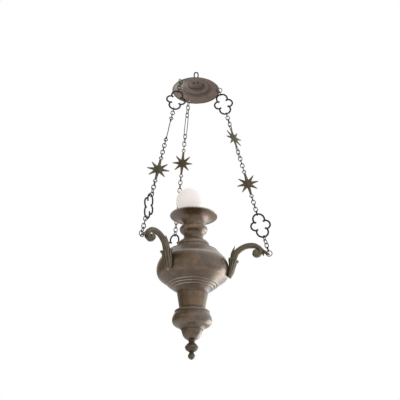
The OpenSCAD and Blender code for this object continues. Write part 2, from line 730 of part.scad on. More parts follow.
// Bulb, drawn upwards from the tip of its cap
cap_tip_h = 3;
cap_wall = 0.8;
module at_bulb() leaning() translate([0, 0, holder_base + contact_h + tip_gap]) children();
module bulb_cap()
    color(old_brass)
        at_bulb()
            rotate_extrude($fn = round_steps)
                polygon([[0, 0], [4.4, 0], [5, 0.8], [cap_d / 2 - 4, cap_tip_h],
                    [cap_d / 2, cap_tip_h + 2.4], [cap_d / 2, cap_h],
                    [cap_d / 2 - cap_wall, cap_h], [cap_d / 2 - cap_wall, cap_tip_h + 3],
                    [cap_d / 2 - 4, cap_tip_h + 1], [0, cap_tip_h + 1]]);

module bulb_glass() {
    r = bulb_d / 2;
    mid = bulb_h - r;
    neck_r = cap_d / 2 + 0.4;
    face = concat(
        arc([0, mid], r, 90, -28, 16),
        curve([r * cos(40), mid - r * sin(40)], [r * cos(40) - 5, mid - r * sin(40) - 6],
            [neck_r + 1.6, cap_h + 14], [neck_r, cap_h], 6));
    color(opal) at_bulb() turned_shell(face, glass_wall);
}

// Arms. Each station along a limb is [reach, height, half thickness in the arm's plane,
// half width across it], measured from the largest radius of the bowl.
limb_sides = 14;
function limb_points(way, ribs, depth, clear) =
    [for (i = [0:len(way) - 1])
        let (a = way[max(i - 1, 0)],
             b = way[min(i + 1, len(way) - 1)],
             t = unit([b[0] - a[0], b[1] - a[1]]),
             w = way[i])
        each [for (j = [0:limb_sides - 1])
            let (q = 360 * j / limb_sides,
                 swell = 1 + depth * cos(ribs * q),
                 u = w[2] * swell * cos(q),
                 v = w[3] * swell * sin(q),
                 out = bowl_r + w[0] - t.y * u,
                 up = belly_z + w[1] + t.x * u,
                 least = bowl_at(up) + leaf_gap,
                 pushed = clear && out < sqrt(max(least * least - v * v, 0)))
            [pushed ? sqrt(least * least - v * v) : out, v, up]]];
module limb(way, ribs = 6, depth = 0, clear = false) {
    body = limb_points(way, ribs, depth, clear);
    n = limb_sides;
    last = len(way) - 1;
    ends = [for (i = [0, last]) middle([for (j = [0:n - 1]) body[i * n + j]])];
    points = concat(body, ends);
    sides = [for (i = [0:last - 1], j = [0:n - 1])
        let (a = i * n + j,
             b = i * n + (j + 1) % n)
        each [[a, b, b + n], [a, b + n, a + n]]];
    caps = [for (j = [0:n - 1])
        let (k = (j + 1) % n)
        each [[len(body), k, j], [len(body) + 1, last * n + j, last * n + k]]];
    polyhedron(points, concat(sides, caps));
}

bow_half = bow_thick / 2;
// The leaf that clasps the bowl and flares at its lip
leaf_way = through([
    [-1.5, -17, 3.4, 5],
    [2, -11, 6, 9.5],
    [5.4, 1, 7, leaf_half_w - 1.5],
    [7.4, 12, 8.2, leaf_half_w - 2],
    [8.4, 17.5, 9.8, leaf_half_w - 0.4],
    [9, 19.5, 11, leaf_half_w + 0.6]], 3);
// The stem that rises out of the leaf, bows outwards and rolls up into the scroll
scroll_at = [58.5, 35.5];
scroll_turn = [90, 40, -10, -60, -110, -160, -210];
scroll_out = scroll_r * [1.6, 1.25, 0.86, 0.62, 0.5, 0.44, 0.38];
stem_way = through(concat(
    [[6, 6, 6, 7], [8.6, 22.5, bow_half + 1.2, 8], [14.5, 36.5, bow_half + 0.6, 7.4],
     [24.5, 46, bow_half, 6.6], [36.5, 52.2, bow_half - 0.2, 6.2],
     [48.5, 53.6, bow_half, 6.2]],
    [for (i = [0:len(scroll_turn) - 1])
        [scroll_at.x + scroll_out[i] * cos(scroll_turn[i]),
         scroll_at.y + scroll_out[i] * sin(scroll_turn[i]),
         lerp(bow_half - 0.6, 3.4, i / (len(scroll_turn) - 1)),
         lerp(6.4, 7.4, i / (len(scroll_turn) - 1))]]), 3);
// The beak that carries the chain
beak_dir = unit([9.5, -6.5]);
beak_end = [arm_reach, arm_tip_rise] + 0.75 * pivot_bar_r * beak_dir;
hole_back = let (along = chain_dir * beak_dir, ring = end_ring_in - end_slack - pivot_bar_r)
    ring * along + sqrt(pow(ring * along, 2) + pow(end_ring_d / 2, 2) - ring * ring);
hole_at = [arm_reach, arm_tip_rise] - hole_back * beak_dir;
beak_way = through([
    [57, 51, 3, 4],
    [65, 49.4, 3.6, 5.6],
    [71, 44, 3.4, 5.6],
    [hole_at.x - 1, hole_at.y + 1.4, 2.6, 5],
    concat(lerp(hole_at, beak_end, 0.5), [2, 4.6]),
    concat(beak_end, [1.2, 4.4])], 3);
// The pointed leaf on the inner side of the stem
thorn_way = through([[4, 22, 3, 5.6], [7.4, 39, 2.8, 4.4], [12.8, 54, 0.5, 0.8]], 4);
// The lower point of the beak's forked end
prong_way = through([[69, 46, 3, 5], [73.4, 37, 2.8, 4.6], [75.2, 28.5, 0.9, 1.8]], 4);

arm_hole_d = 6;
module beak_hole()
    translate([bowl_r + hole_at.x, 0, belly_z + hole_at.y])
        rotate([0, atan2(beak_dir.x, beak_dir.y) - 90, 0])
            cylinder(h = 9, d = arm_hole_d, center = true, $fn = 24);
module scroll_boss()
    translate([bowl_r + scroll_at.x, 0, belly_z + scroll_at.y])
        rotate([90, 0, 0]) cylinder(h = 17, r = 4.6, center = true, $fn = 24);
module arm(k)
    color(olive_bronze)
        rotate([0, 0, azimuth(k)])
            difference() {
                union() {
                    limb(leaf_way, 7, 0.06, true);
                    limb(stem_way, 6, 0.04, true);
                    limb(beak_way);
                    limb(prong_way);
                    limb(thorn_way, 6, 0, true);
                    scroll_boss();
                }
                beak_hole();
                rotate([0, 0, -azimuth(k)]) at_rivet(k)
                    translate([0, 0, -4 * wall]) cylinder(h = 30, d = rivet_d, $fn = 24);
            }
module right_arm() arm(RIGHT);
module back_arm() arm(BACK);
module left_arm() arm(LEFT);

// Rivets through the arm's foot and the bowl's wall, square to the wall
rivet_rise = -14;
rivet_wall = let (z = belly_z + rivet_rise) [bowl_at(z), z];
rivet_lean = let (d = 1.5) atan2(bowl_at(rivet_wall.y + d) - bowl_at(rivet_wall.y - d), 2 * d);
rivet_head_h = 1.6;
rivet_head_d = 1.7 * rivet_d;
rivet_grip = 8.3;
rivet_seat = 0.4;
module at_rivet(k)
    rotate([0, 0, azimuth(k)])
        translate([rivet_wall.x, 0, rivet_wall.y])
            rotate([0, 90 + rivet_lean, 0]) children();
module arm_rivets()
    color(old_brass)
        for (k = [RIGHT, BACK, LEFT])
            at_rivet(k) {
                translate([0, 0, -wall - rivet_seat - rivet_head_h])
                    cylinder(h = rivet_head_h, d = rivet_head_d, $fn = 24);
                translate([0, 0, -wall - rivet_seat - rivet_head_h])
                    cylinder(h = wall + rivet_seat + rivet_head_h + rivet_grip, d = rivet_d, $fn = 24);
                translate([0, 0, rivet_grip])
                    cylinder(h = rivet_head_h, d1 = rivet_head_d, d2 = rivet_d, $fn = 24);
            }

module right_chain_links() chain_links(RIGHT);
module back_chain_links() chain_links(BACK);
module left_chain_links() chain_links(LEFT);
module pendant_place(k, g) on_chain(k, pendant_index(k, g)) children();
module right_upper_quatrefoil() pendant_place(RIGHT, 0) quatrefoil();
module right_upper_star() pendant_place(RIGHT, 1) star();
module right_lower_star() pendant_place(RIGHT, 2) star();
module right_lower_quatrefoil() pendant_place(RIGHT, 3) quatrefoil();
module back_wire_loop() pendant_place(BACK, 0) wire_loop();
module back_upper_star() pendant_place(BACK, 1) star();
module back_lower_star() pendant_place(BACK, 2) star();
module back_lower_quatrefoil() pendant_place(BACK, 3) quatrefoil();
module left_upper_quatrefoil() pendant_place(LEFT, 0) quatrefoil();
module left_wire_link() pendant_place(LEFT, 1) wire_link();
module left_star() pendant_place(LEFT, 2) star();
module left_lower_quatrefoil() pendant_place(LEFT, 3) quatrefoil();

canopy_plate();
hanging_loop();
right_chain_links();
right_upper_quatrefoil();
right_upper_star();
right_lower_star();
right_lower_quatrefoil();
left_chain_links();
left_upper_quatrefoil();
left_wire_link();
left_star();
left_lower_quatrefoil();
back_chain_links();
back_wire_loop();
back_upper_star();
back_lower_star();
back_lower_quatrefoil();
drip_cup();
upper_knop();
lower_knop();
bowl_cover();
bowl();
stem();
pendant_drop();
pendant_cone();
finial();
tie_rod();
rod_washer();
rod_nut();
lampholder();
lampholder_contact();
bulb_glass();
bulb_cap();
right_arm();
left_arm();
back_arm();
arm_rivets();
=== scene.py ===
import math

import bpy
import numpy as np
from mathutils import Matrix


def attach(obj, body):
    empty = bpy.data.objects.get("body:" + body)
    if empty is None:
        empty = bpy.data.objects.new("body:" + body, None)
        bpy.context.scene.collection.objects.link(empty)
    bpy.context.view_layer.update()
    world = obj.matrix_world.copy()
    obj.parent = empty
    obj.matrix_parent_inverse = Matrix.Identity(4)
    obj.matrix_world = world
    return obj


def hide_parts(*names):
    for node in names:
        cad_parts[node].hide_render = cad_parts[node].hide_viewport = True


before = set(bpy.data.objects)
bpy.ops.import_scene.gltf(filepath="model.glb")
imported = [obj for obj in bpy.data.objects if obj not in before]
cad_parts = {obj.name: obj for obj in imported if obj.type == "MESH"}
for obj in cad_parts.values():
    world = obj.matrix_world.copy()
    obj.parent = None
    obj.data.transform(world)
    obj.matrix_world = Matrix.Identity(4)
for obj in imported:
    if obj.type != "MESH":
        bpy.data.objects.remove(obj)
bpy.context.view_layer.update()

print("frame loaded:", len(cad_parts), "nodes")

# Sizes are in millimetres in the row frame and become metres when a mesh is made.
millimetre = 0.001
chance = np.random.default_rng(7)

# A turned outline that closes on the axis stops this short of it.
axisGap = 0.02

# Flat bent pieces, such as links, are drawn in the XZ plane, square to this direction.
planeSide = [0, 1, 0]

# Ageing of a turned wall: wear or dirt for each unit of bend, dirt where it seats on the next
# piece and how far that reaches, dirt inside, and the radius from which it sways in full.
ageing = {"perBend": 1.6, "seatDirt": 0.8, "seatReach": 1.1, "insideDirt": 0.45, "fullSway": 20}


# A cubic curve from a to d that leaves towards b and arrives from c.
def curve(a, b, c, d, n=24):
    t = np.linspace(0, 1, n + 1)[:, None]
    a, b, c, d = (np.array(p, float) for p in (a, b, c, d))
    return (1 - t) ** 3 * a + 3 * (1 - t) ** 2 * t * b + 3 * (1 - t) * t ** 2 * c + t ** 3 * d


# Points on a circle from one angle to another, in degrees.
def arc(centre, r, start, end, n=24):
    q = np.radians(np.linspace(start, end, n + 1))
    return np.stack([centre[0] + r * np.cos(q), centre[1] + r * np.sin(q)], axis=1)


# A smooth line through every row of p: each span is a cubic whose slope at a point is half
# the step from the point before it to the point after it.
def through(p, n=14):
    p = np.array(p, float)
    padded = np.vstack([p[:1], p, p[-1:]])
    t = np.arange(n)[:, None] / n
    spans = []
    for i in range(len(p) - 1):
        a, b, c, d = padded[i : i + 4]
        square = 2 * a - 5 * b + 4 * c - d
        cube = 3 * b - a - 3 * c + d
        spans.append(0.5 * (2 * b + (c - a) * t + square * t ** 2 + cube * t ** 3))
    return np.vstack(spans + [p[-1:]])


# The same line with its points an even step apart, its corners eased like worn edges.
def even(p, step, ease):
    run = np.concatenate([[0], np.cumsum(np.linalg.norm(np.diff(p, axis=0), axis=1))])
    at = np.linspace(0, run[-1], max(int(run[-1] / step), 4) + 1)
    line = np.stack([np.interp(at, run, p[:, k]) for k in range(p.shape[1])], axis=1)
    for _ in range(ease):
        line[1:-1] = 0.25 * line[:-2] + 0.5 * line[1:-1] + 0.25 * line[2:]
    return line


# The inner face of a turned wall: the outer face, which runs from the top down, moved inwards.
def lining(face, wall):
    t = np.gradient(face, axis=0)
    t /= np.maximum(np.linalg.norm(t, axis=1, keepdims=True), 1e-9)
    inner = face + wall * np.stack([t[:, 1], -t[:, 0]], axis=1)
    return np.maximum(inner, [axisGap, -np.inf])[::-1]


def unit(v):
    return v / np.linalg.norm(v, axis=-1, keepdims=True)


def aboutZ(p, degrees):
    c, s = math.cos(math.radians(degrees)), math.sin(math.radians(degrees))
    return np.stack([c * p[..., 0] - s * p[..., 1], s * p[..., 0] + c * p[..., 1], p[..., 2]], axis=-1)


def aboutY(p, degrees):
    c, s = math.cos(math.radians(degrees)), math.sin(math.radians(degrees))
    return np.stack([c * p[..., 0] + s * p[..., 2], p[..., 1], c * p[..., 2] - s * p[..., 0]], axis=-1)


# A bell curve: 1 where away is nothing, fading over the given width.
def hump(away, width):
    return np.exp(-(away / width) ** 2)


# Angles once round a circle, as one row.
def circle(n):
    return np.linspace(0, 2 * math.pi, n, endpoint=False)[None, :]


# A grid of rings as one surface: its points, its four-sided faces, and for each point its wear
# with any painted highlight and its dirt with any painted shade. The faces are turned to look
# outwards by the sign of the volume they enclose.
def skin(rings, closed=False, wear=0.0, dirt=0.0):
    rows, cols = rings.shape[:2]
    i = np.arange(rows if closed else rows - 1)[:, None]
    j = np.arange(cols)[None, :]
    below, beside = (i + 1) % rows, (j + 1) % cols
    quads = np.stack([i * cols + j, below * cols + j, below * cols + beside, i * cols + beside], axis=-1)
    points, quads = rings.reshape(-1, 3), quads.reshape(-1, 4)
    a, b, c, d = (points[quads[:, k]] for k in range(4))
    volume = (np.cross(a, b) * c).sum() + (np.cross(a, c) * d).sum()
    if volume < 0:
        quads = quads[:, ::-1]
    spread = [np.broadcast_to(np.asarray(m, float), (rows, cols)).reshape(-1) for m in (wear, dirt)]
    return points, quads, spread[0], spread[1]


# Rings whose two ends are closed by low domes: shrinking rings set out by a quarter circle.
domeShares = np.array([0.02, 0.4, 0.7, 0.9])[:, None, None]


def domed(rings, bulge):
    ends = []
    for ring, inward in ((rings[0], rings[1]), (rings[-1], rings[-2])):
        centre = ring.mean(axis=0)
        out = unit(centre - inward.mean(axis=0))
        ends.append(centre + domeShares * (ring - centre) + out * bulge * np.sqrt(1 - domeShares ** 2))
    return np.concatenate([ends[0], rings, ends[1][::-1]])


# A wire along a path: rounds square to the path, one axis kept square to a given side and
# flattened along it.
def wire(path, radius, side, closed=False, sides=14, wear=0.3, dirt=0.2, flat=1.0):
    path = np.asarray(path, float)
    if closed:
        t = unit(np.roll(path, -1, axis=0) - np.roll(path, 1, axis=0))
    else:
        t = unit(np.gradient(path, axis=0))
    normal = unit(np.cross(t, np.asarray(side, float)))
    binormal = np.cross(normal, t)
    q = circle(sides)[..., None]
    radius = np.broadcast_to(np.asarray(radius, float), (len(path),))[:, None, None]
    rings = path[:, None] + radius * (np.cos(q) * normal[:, None] + flat * np.sin(q) * binormal[:, None])
    if not closed:
        rings = domed(rings, radius.mean())
    return skin(rings, closed, wear, dirt)


# A bell round one spot of a turned wall, given by its angle and height.
def spot(q, r, z, angle, height, width):
    away = (q - math.radians(angle) + math.pi) % (2 * math.pi) - math.pi
    return np.exp(-((away * r) ** 2 + (z - height) ** 2) / width ** 2)


# A turned piece: its outline goes round the axis. The radius also swells and shrinks by a
# fraction of a millimetre twice in a turn, and is pressed in by dents, each a bell-shaped dip
# given as [angle, height, depth, width]. Hollows of the outline gather dirt, ridges wear bright,
# and rubs brighten them further, partly as hand wear and partly as a painted highlight, in bells
# given as [angle, height, strength, width].
def turned(outer, inner, foot, sway, dents=(), step=0.6, turns=192, ease=2, grime=1.0, rubs=()):
    insideStep = 2.4
    outer = even(np.vstack(outer), step, ease)
    heading = np.unwrap(np.arctan2(np.diff(outer[:, 1]), np.diff(outer[:, 0])))
    bend = -np.gradient(heading) / step
    bend = np.convolve(np.pad(bend, (2, 3), "edge"), np.array([1, 2, 3, 2, 1]) / 9, "valid")
    run = np.arange(len(outer)) * step
    seat = ageing["seatDirt"] * hump(np.minimum(run, run[-1] - run), ageing["seatReach"])
    wear = np.clip(ageing["perBend"] * bend, 0, 1)
    dirt = grime * np.maximum(np.clip(-ageing["perBend"] * bend, 0, 1), seat)
    if inner is None:
        inner = np.array([[axisGap, outer[-1, 1]], [axisGap, outer[0, 1]]])
    else:
        inner = even(inner, insideStep, 0)
    loop = np.vstack([outer, inner])
    wear = np.concatenate([wear, np.zeros(len(inner))])[:, None]
    dirt = np.concatenate([dirt, np.full(len(inner), ageing["insideDirt"])])[:, None]
    q = circle(turns)
    r, z = loop[:, :1], loop[:, 1:]
    # Each piece starts its sway at an angle that follows from its height.
    change = sway * np.cos(2 * q + 0.05 * foot) * np.minimum(r / ageing["fullSway"], 1)
    for angle, height, depth, width in dents:
        change = change - depth * spot(q, r, z, angle, height, width)
    for angle, height, strength, width in rubs:
        wear = np.clip(wear * (1 + strength * spot(q, r, z, angle, height, width)), 0, 1)
    r = np.maximum(r + change, axisGap)
    rings = np.stack([r * np.cos(q), r * np.sin(q), z + foot + 0 * q], axis=-1)
    return skin(rings, True, wear, dirt)


materials = {}


def newMesh(name, points, faces):
    mesh = bpy.data.meshes.new(name)
    mesh.from_pydata(points.tolist(), [], faces.tolist())
    return mesh


def newObject(name, data):
    obj = bpy.data.objects.new(name, data)
    bpy.context.scene.collection.objects.link(obj)
    return obj


# One Blender object from several surfaces, riding on its body in place of its CAD nodes.
def piece(name, parts, body, nodes, slotName, sharp=38, paint=None):
    first = np.cumsum([0] + [len(p[0]) for p in parts])
    points = np.vstack([p[0] for p in parts]) * millimetre
    quads = np.vstack([p[1] + k for p, k in zip(parts, first)])
    mesh = newMesh(name, points, quads)
    for key, k in (("wear", 2), ("dirt", 3)):
        values = np.concatenate([p[k] for p in parts]).astype(np.float32)
        mesh.attributes.new(key, "FLOAT", "POINT").data.foreach_set("value", values)
    mesh.shade_smooth()
    mesh.set_sharp_from_angle(angle=math.radians(sharp))
    mesh.materials.append(materials[paint or slotName])
    obj = newObject(name, mesh)
    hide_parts(*nodes)
    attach(obj, body)
    return obj


# Shader helpers: a node with its sockets filled by values or by other nodes' outputs.
def add(tree, kind, feeds=None, **settings):
    made = tree.nodes.new(kind)
    for key, value in settings.items():
        setattr(made, key, value)
    for socket, source in (feeds or {}).items():
        if isinstance(source, bpy.types.NodeSocket):
            tree.links.new(source, made.inputs[socket])
        else:
            made.inputs[socket].default_value = source
    return made


def blendColour(tree, factor, a, b):
    return add(tree, "ShaderNodeMix", {0: factor, 6: a, 7: b}, data_type="RGBA").outputs[2]


def sums(tree, kind, a, b=0.0):
    return add(tree, "ShaderNodeMath", {0: a, 1: b}, operation=kind).outputs[0]


def spanned(tree, value, low, high, toLow=0.0, toHigh=1.0):
    feeds = {"Value": value, "From Min": low, "From Max": high, "To Min": toLow, "To Max": toHigh}
    return add(tree, "ShaderNodeMapRange", feeds).outputs[0]


def noise(tree, where, scale, detail, rough=0.5):
    feeds = {"Vector": where, "Scale": scale, "Detail": detail, "Roughness": rough}
    return add(tree, "ShaderNodeTexNoise", feeds).outputs[0]


# Old metal: blotches a few centimetres wide darken the base colour, flecks of a few millimetres
# are darker or rubbed brighter, a fine grain and lines left by turning roughen it, ridges are
# rubbed to a brighter metal and painted highlights brighten the same way, hollows hold dark dirt
# and painted shade darkens the same way, and faces that look up are paled, partly by dust and
# partly as a painted highlight.
# Noise is given as [scale, detail, roughness], the turning lines as how noise is squeezed.
look = {
    "blotch": [42.0, 3.0, 0.55], "fleck": [130.0, 4.0, 0.6], "grain": [520.0, 3.0, 0.6],
    "lines": (10.0, 10.0, 900.0), "stained": 0.75, "darkFlecks": 0.5, "brightFlecks": 0.14,
    "dirtAndShadeTone": (0.012, 0.009, 0.007, 1.0), "dustAndSheenTone": (0.34, 0.32, 0.29, 1.0), "coarser": 0.25,
    "grainHeight": 0.08, "blotchHeight": 1.6,
}
patinaTakes = {
    "Base": "Color", "Dark": "Color", "Bright": "Color", "Turning": "Float", "Roughness": "Float",
    "Dust": "Float",
}
patinaGives = {"Base Color": "Color", "Roughness": "Float", "Normal": "Vector"}
patinaAndPaintedLight = bpy.data.node_groups.new("patinaAndPaintedLight", "ShaderNodeTree")
for label, kind in patinaTakes.items():
    patinaAndPaintedLight.interface.new_socket(label, in_out="INPUT", socket_type="NodeSocket" + kind)
for label, kind in patinaGives.items():
    patinaAndPaintedLight.interface.new_socket(label, in_out="OUTPUT", socket_type="NodeSocket" + kind)
given = add(patinaAndPaintedLight, "NodeGroupInput").outputs
surface = add(patinaAndPaintedLight, "ShaderNodeTexCoord").outputs
where = surface["Object"]
wornAndHighlighted = add(patinaAndPaintedLight, "ShaderNodeAttribute", attribute_name="wear").outputs["Fac"]
soiledAndShaded = add(patinaAndPaintedLight, "ShaderNodeAttribute", attribute_name="dirt").outputs["Fac"]
blotch = noise(patinaAndPaintedLight, where, *look["blotch"])
fleck = noise(patinaAndPaintedLight, where, *look["fleck"])
grain = noise(patinaAndPaintedLight, where, *look["grain"])
stretch = add(patinaAndPaintedLight, "ShaderNodeMapping", {"Vector": where, "Scale": look["lines"]}).outputs[0]
lines = sums(patinaAndPaintedLight, "MULTIPLY", noise(patinaAndPaintedLight, stretch, 1.0, 2.0), given["Turning"])
stain = sums(patinaAndPaintedLight, "MULTIPLY", spanned(patinaAndPaintedLight, blotch, 0.36, 0.66), look["stained"])
shade = blendColour(patinaAndPaintedLight, stain, given["Base"], given["Dark"])
shade = blendColour(patinaAndPaintedLight, spanned(patinaAndPaintedLight, fleck, 0.5, 0.28, 0.0, look["darkFlecks"]), shade, given["Dark"])
brightening = spanned(patinaAndPaintedLight, fleck, 0.52, 0.78, 0.0, look["brightFlecks"])
shade = blendColour(patinaAndPaintedLight, brightening, shade, given["Bright"])
# The wear attribute also holds painted highlights, which brighten the colour the same way.
brightening = sums(patinaAndPaintedLight, "MULTIPLY", wornAndHighlighted, spanned(patinaAndPaintedLight, grain, 0.3, 0.6, 0.35, 1.0))
shade = blendColour(patinaAndPaintedLight, brightening, shade, given["Bright"])
# The dirt attribute also holds painted shade, which darkens the colour the same way.
soilAndShade = sums(patinaAndPaintedLight, "MULTIPLY", soiledAndShaded, spanned(patinaAndPaintedLight, blotch, 0.3, 0.6, 0.95, 0.6))
shade = blendColour(patinaAndPaintedLight, soilAndShade, shade, look["dirtAndShadeTone"])
# Faces that look up are paled: partly dust, partly a painted highlight.
upward = add(patinaAndPaintedLight, "ShaderNodeSeparateXYZ", {0: surface["Normal"]}).outputs["Z"]
dustAndSheen = sums(patinaAndPaintedLight, "MULTIPLY", spanned(patinaAndPaintedLight, upward, 0.25, 0.75), given["Dust"])
shade = blendColour(patinaAndPaintedLight, dustAndSheen, shade, look["dustAndSheenTone"])
rough = sums(patinaAndPaintedLight, "ADD", given["Roughness"], spanned(patinaAndPaintedLight, blotch, 0.3, 0.7, -0.07, 0.1))
coarse = sums(patinaAndPaintedLight, "MULTIPLY", sums(patinaAndPaintedLight, "ADD", soiledAndShaded, dustAndSheen), look["coarser"])
rough = sums(patinaAndPaintedLight, "ADD", rough, coarse)
height = sums(patinaAndPaintedLight, "ADD", sums(patinaAndPaintedLight, "MULTIPLY", grain, look["grainHeight"]), lines)
height = sums(patinaAndPaintedLight, "ADD", height, sums(patinaAndPaintedLight, "MULTIPLY", blotch, look["blotchHeight"]))
bump = add(patinaAndPaintedLight, "ShaderNodeBump", {"Height": height, "Strength": 0.35, "Distance": 0.0006}).outputs[0]
results = add(patinaAndPaintedLight, "NodeGroupOutput").inputs
for label, source in zip(patinaGives, (shade, rough, bump)):
    patinaAndPaintedLight.links.new(source, results[label])


def newMaterial(name, settings):
    material = bpy.data.materials.new(name)
    material.use_nodes = True
    tree = material.node_tree
    shader = tree.nodes["Principled BSDF"]
    for socket, value in settings.items():
        shader.inputs[socket].default_value = value
    materials[name] = material
    return tree, shader


# A metal under the patina, whose inputs come in the order in which the patina takes them.
def oldMetal(name, inputs, settings):
    tree, shader = newMaterial(name, settings)
    group = add(tree, "ShaderNodeGroup", node_tree=patinaAndPaintedLight)
    for socket, value in zip(patinaTakes, inputs):
        group.inputs[socket].default_value = value
    for label in patinaGives:
        tree.links.new(group.outputs[label], shader.inputs[label])
    return tree, shader, group


metals = {
    "vessel_metal": [
        [(0.17, 0.102, 0.048, 1), (0.07, 0.043, 0.026, 1), (0.55, 0.5, 0.42, 1), 0.4, 0.36, 0.35],
        {"Metallic": 0.65, "IOR": 1.5, "Coat Weight": 1.0, "Coat Roughness": 0.3, "Coat IOR": 1.6},
    ],
    "belly_metal": [
        [(0.122, 0.069, 0.028, 1), (0.05, 0.03, 0.017, 1), (0.5, 0.45, 0.37, 1), 0.4, 0.36, 0.35],
        {"Metallic": 0.65, "IOR": 1.5, "Coat Weight": 1.0, "Coat Roughness": 0.3, "Coat IOR": 1.65},
    ],
    "arm_metal": [
        [(0.12, 0.103, 0.07, 1), (0.05, 0.043, 0.03, 1), (0.3, 0.27, 0.2, 1), 0.0, 0.48, 0.0],
        {"Metallic": 0.6, "IOR": 1.5, "Coat Weight": 0.2, "Coat Roughness": 0.4},
    ],
    "chain_metal": [
        [(0.036, 0.031, 0.024, 1), (0.018, 0.016, 0.013, 1), (0.1, 0.088, 0.07, 1), 0.0, 0.52, 0.0],
        {"Metallic": 0.4, "IOR": 1.45, "Specular IOR Level": 0.35},
    ],
    "star_metal": [
        [(0.14, 0.121, 0.084, 1), (0.07, 0.062, 0.046, 1), (0.26, 0.225, 0.16, 1), 0.0, 0.48, 0.0],
        {"Metallic": 0.6, "IOR": 1.45},
    ],
    "old_brass": [
        [(0.44, 0.36, 0.23, 1), (0.26, 0.2, 0.13, 1), (0.7, 0.58, 0.38, 1), 0.2, 0.38, 0.0],
        {"Metallic": 0.9, "IOR": 1.5},
    ],
    "steel": [
        [(0.4, 0.39, 0.37, 1), (0.2, 0.18, 0.16, 1), (0.6, 0.6, 0.58, 1), 0.1, 0.4, 0.0],
        {"Metallic": 0.95, "IOR": 1.5},
    ],
}
for name, (inputs, settings) in metals.items():
    oldMetal(name, inputs, settings)
newMaterial("holder", {"Base Color": (0.03, 0.017, 0.012, 1), "Roughness": 0.32, "IOR": 1.52})
# The bulb is unlit, yet its glass glows faintly: the emission is painted light standing in for light
# scattered through the opal glass, and the base colour is darkened to match.
opal = {"Base Color": (0.5, 0.485, 0.482, 1), "Roughness": 0.35, "IOR": 1.45, "Specular IOR Level": 0.3}
newMaterial("opal_glass", {**opal, "Emission Color": (1, 0.945, 0.935, 1), "Emission Strength": 0.5})

# A grey-green sheen is painted on the canopy's left side, a painted reflection of sky light, broken up by
# noise.
skySheen = {
    "at": (-0.042, -0.018, -0.046), "none": 0.042, "full": 0.026, "frayed": 0.03, "strength": 0.8,
    "tone": (0.36, 0.37, 0.33, 1),
}
tree, shader, group = oldMetal(
    "canopy_metal",
    [(0.23, 0.174, 0.152, 1), (0.165, 0.124, 0.109, 1), (0.36, 0.31, 0.28, 1), 0.0, 0.5, 0.0],
    {"Metallic": 0.5, "IOR": 1.5, "Coat Weight": 0.2, "Coat Roughness": 0.45},
)
where = add(tree, "ShaderNodeTexCoord").outputs["Object"]
away = add(tree, "ShaderNodeVectorMath", {0: where, 1: skySheen["at"]}, operation="DISTANCE").outputs["Value"]
fray = sums(tree, "MULTIPLY", noise(tree, where, 120.0, 4.0, 0.65), skySheen["frayed"])
share = spanned(tree, sums(tree, "ADD", away, fray), skySheen["none"], skySheen["full"])
share = sums(tree, "MULTIPLY", share, skySheen["strength"])
coloured = blendColour(tree, share, group.outputs["Base Color"], skySheen["tone"])
tree.links.new(coloured, shader.inputs["Base Color"])
print("materials made:", len(materials))


# A turned piece of the vessel, made from its own dictionary.
def vesselPiece(name, node, spec, outline, inner, paint=None):
    parts = [turned(outline, inner, spec["foot"], spec["sway"], spec["dents"])]
    piece(name, parts, "lamp", [node], "vessel_metal", paint=paint)


# Turned vessel, from the cup down. Each outline runs from the top down, measured from its foot.
cup = {
    "foot": -413, "wall": 1.8, "beadAt": [52.5, 26.5], "beadR": 1.5, "throat": 23, "sway": 0.3,
    "dents": [[205, 20, 0.5, 9], [320, 17, 0.4, 8]],
}
brim = [cup["beadAt"][0], cup["beadAt"][1] - cup["beadR"]]
face = curve(brim, [34.56, 23.5], [24.5, 19], [cup["throat"], 0], 40)
outline = [arc(cup["beadAt"], cup["beadR"], 190, -90), face]
vesselPiece("dripCup", "drip_cup", cup, outline, lining(face, cup["wall"]))

upperKnop = {
    "foot": -437, "wall": 1.8, "h": 24, "r": 31.5, "waist": 21.6, "floor": 3, "rodHole": 4.2,
    "sway": 0.12, "dents": [[250, 19, 0.35, 6]],
}
face = [
    curve([cup["throat"], upperKnop["h"]], [29.5, 24], [upperKnop["r"], 21.12], [upperKnop["r"], 18.24]),
    curve([31.4, 16.8], [31.2, 14.4], [30.2, 12.6], [28.8, 11.2]),
    curve([27.4, 10], [23.6, 7], [upperKnop["waist"], 4.8], [upperKnop["waist"], 0]),
]
# The floor takes the place of the lining's lowest rows.
waist, rodHole, floorZ = (upperKnop[key] for key in ("waist", "rodHole", "floor"))
floor = [[waist, 0], [rodHole, 0], [rodHole, floorZ], [waist - upperKnop["wall"], floorZ]]
inner = np.vstack([floor, lining(np.vstack(face), upperKnop["wall"])[14:]])
vesselPiece("upperKnop", "upper_knop", upperKnop, face, inner)

lowerKnop = {
    "foot": -465, "wall": 1.8, "h": 28, "r": 36, "collar": 37.5, "waist": 21.6, "sway": 0.12,
    "dents": [[300, 9, 0.3, 6]],
}
waist = lowerKnop["waist"]
face = [
    curve([waist, lowerKnop["h"]], [waist, 22.96], [22.6, 20.16], [25, 18.96]),
    curve([27, 18.36], [33, 14.24], [lowerKnop["r"], 11.46], [lowerKnop["r"], 7.29]),
    curve([35.7, 5.2], [35.2, 3.82], [35.2, 2.78], [36, 2.2]),
    np.array([[lowerKnop["collar"], 1.6], [lowerKnop["collar"], 0]]),
]
vesselPiece("lowerKnop", "lower_knop", lowerKnop, face, lining(np.vstack(face), lowerKnop["wall"]))

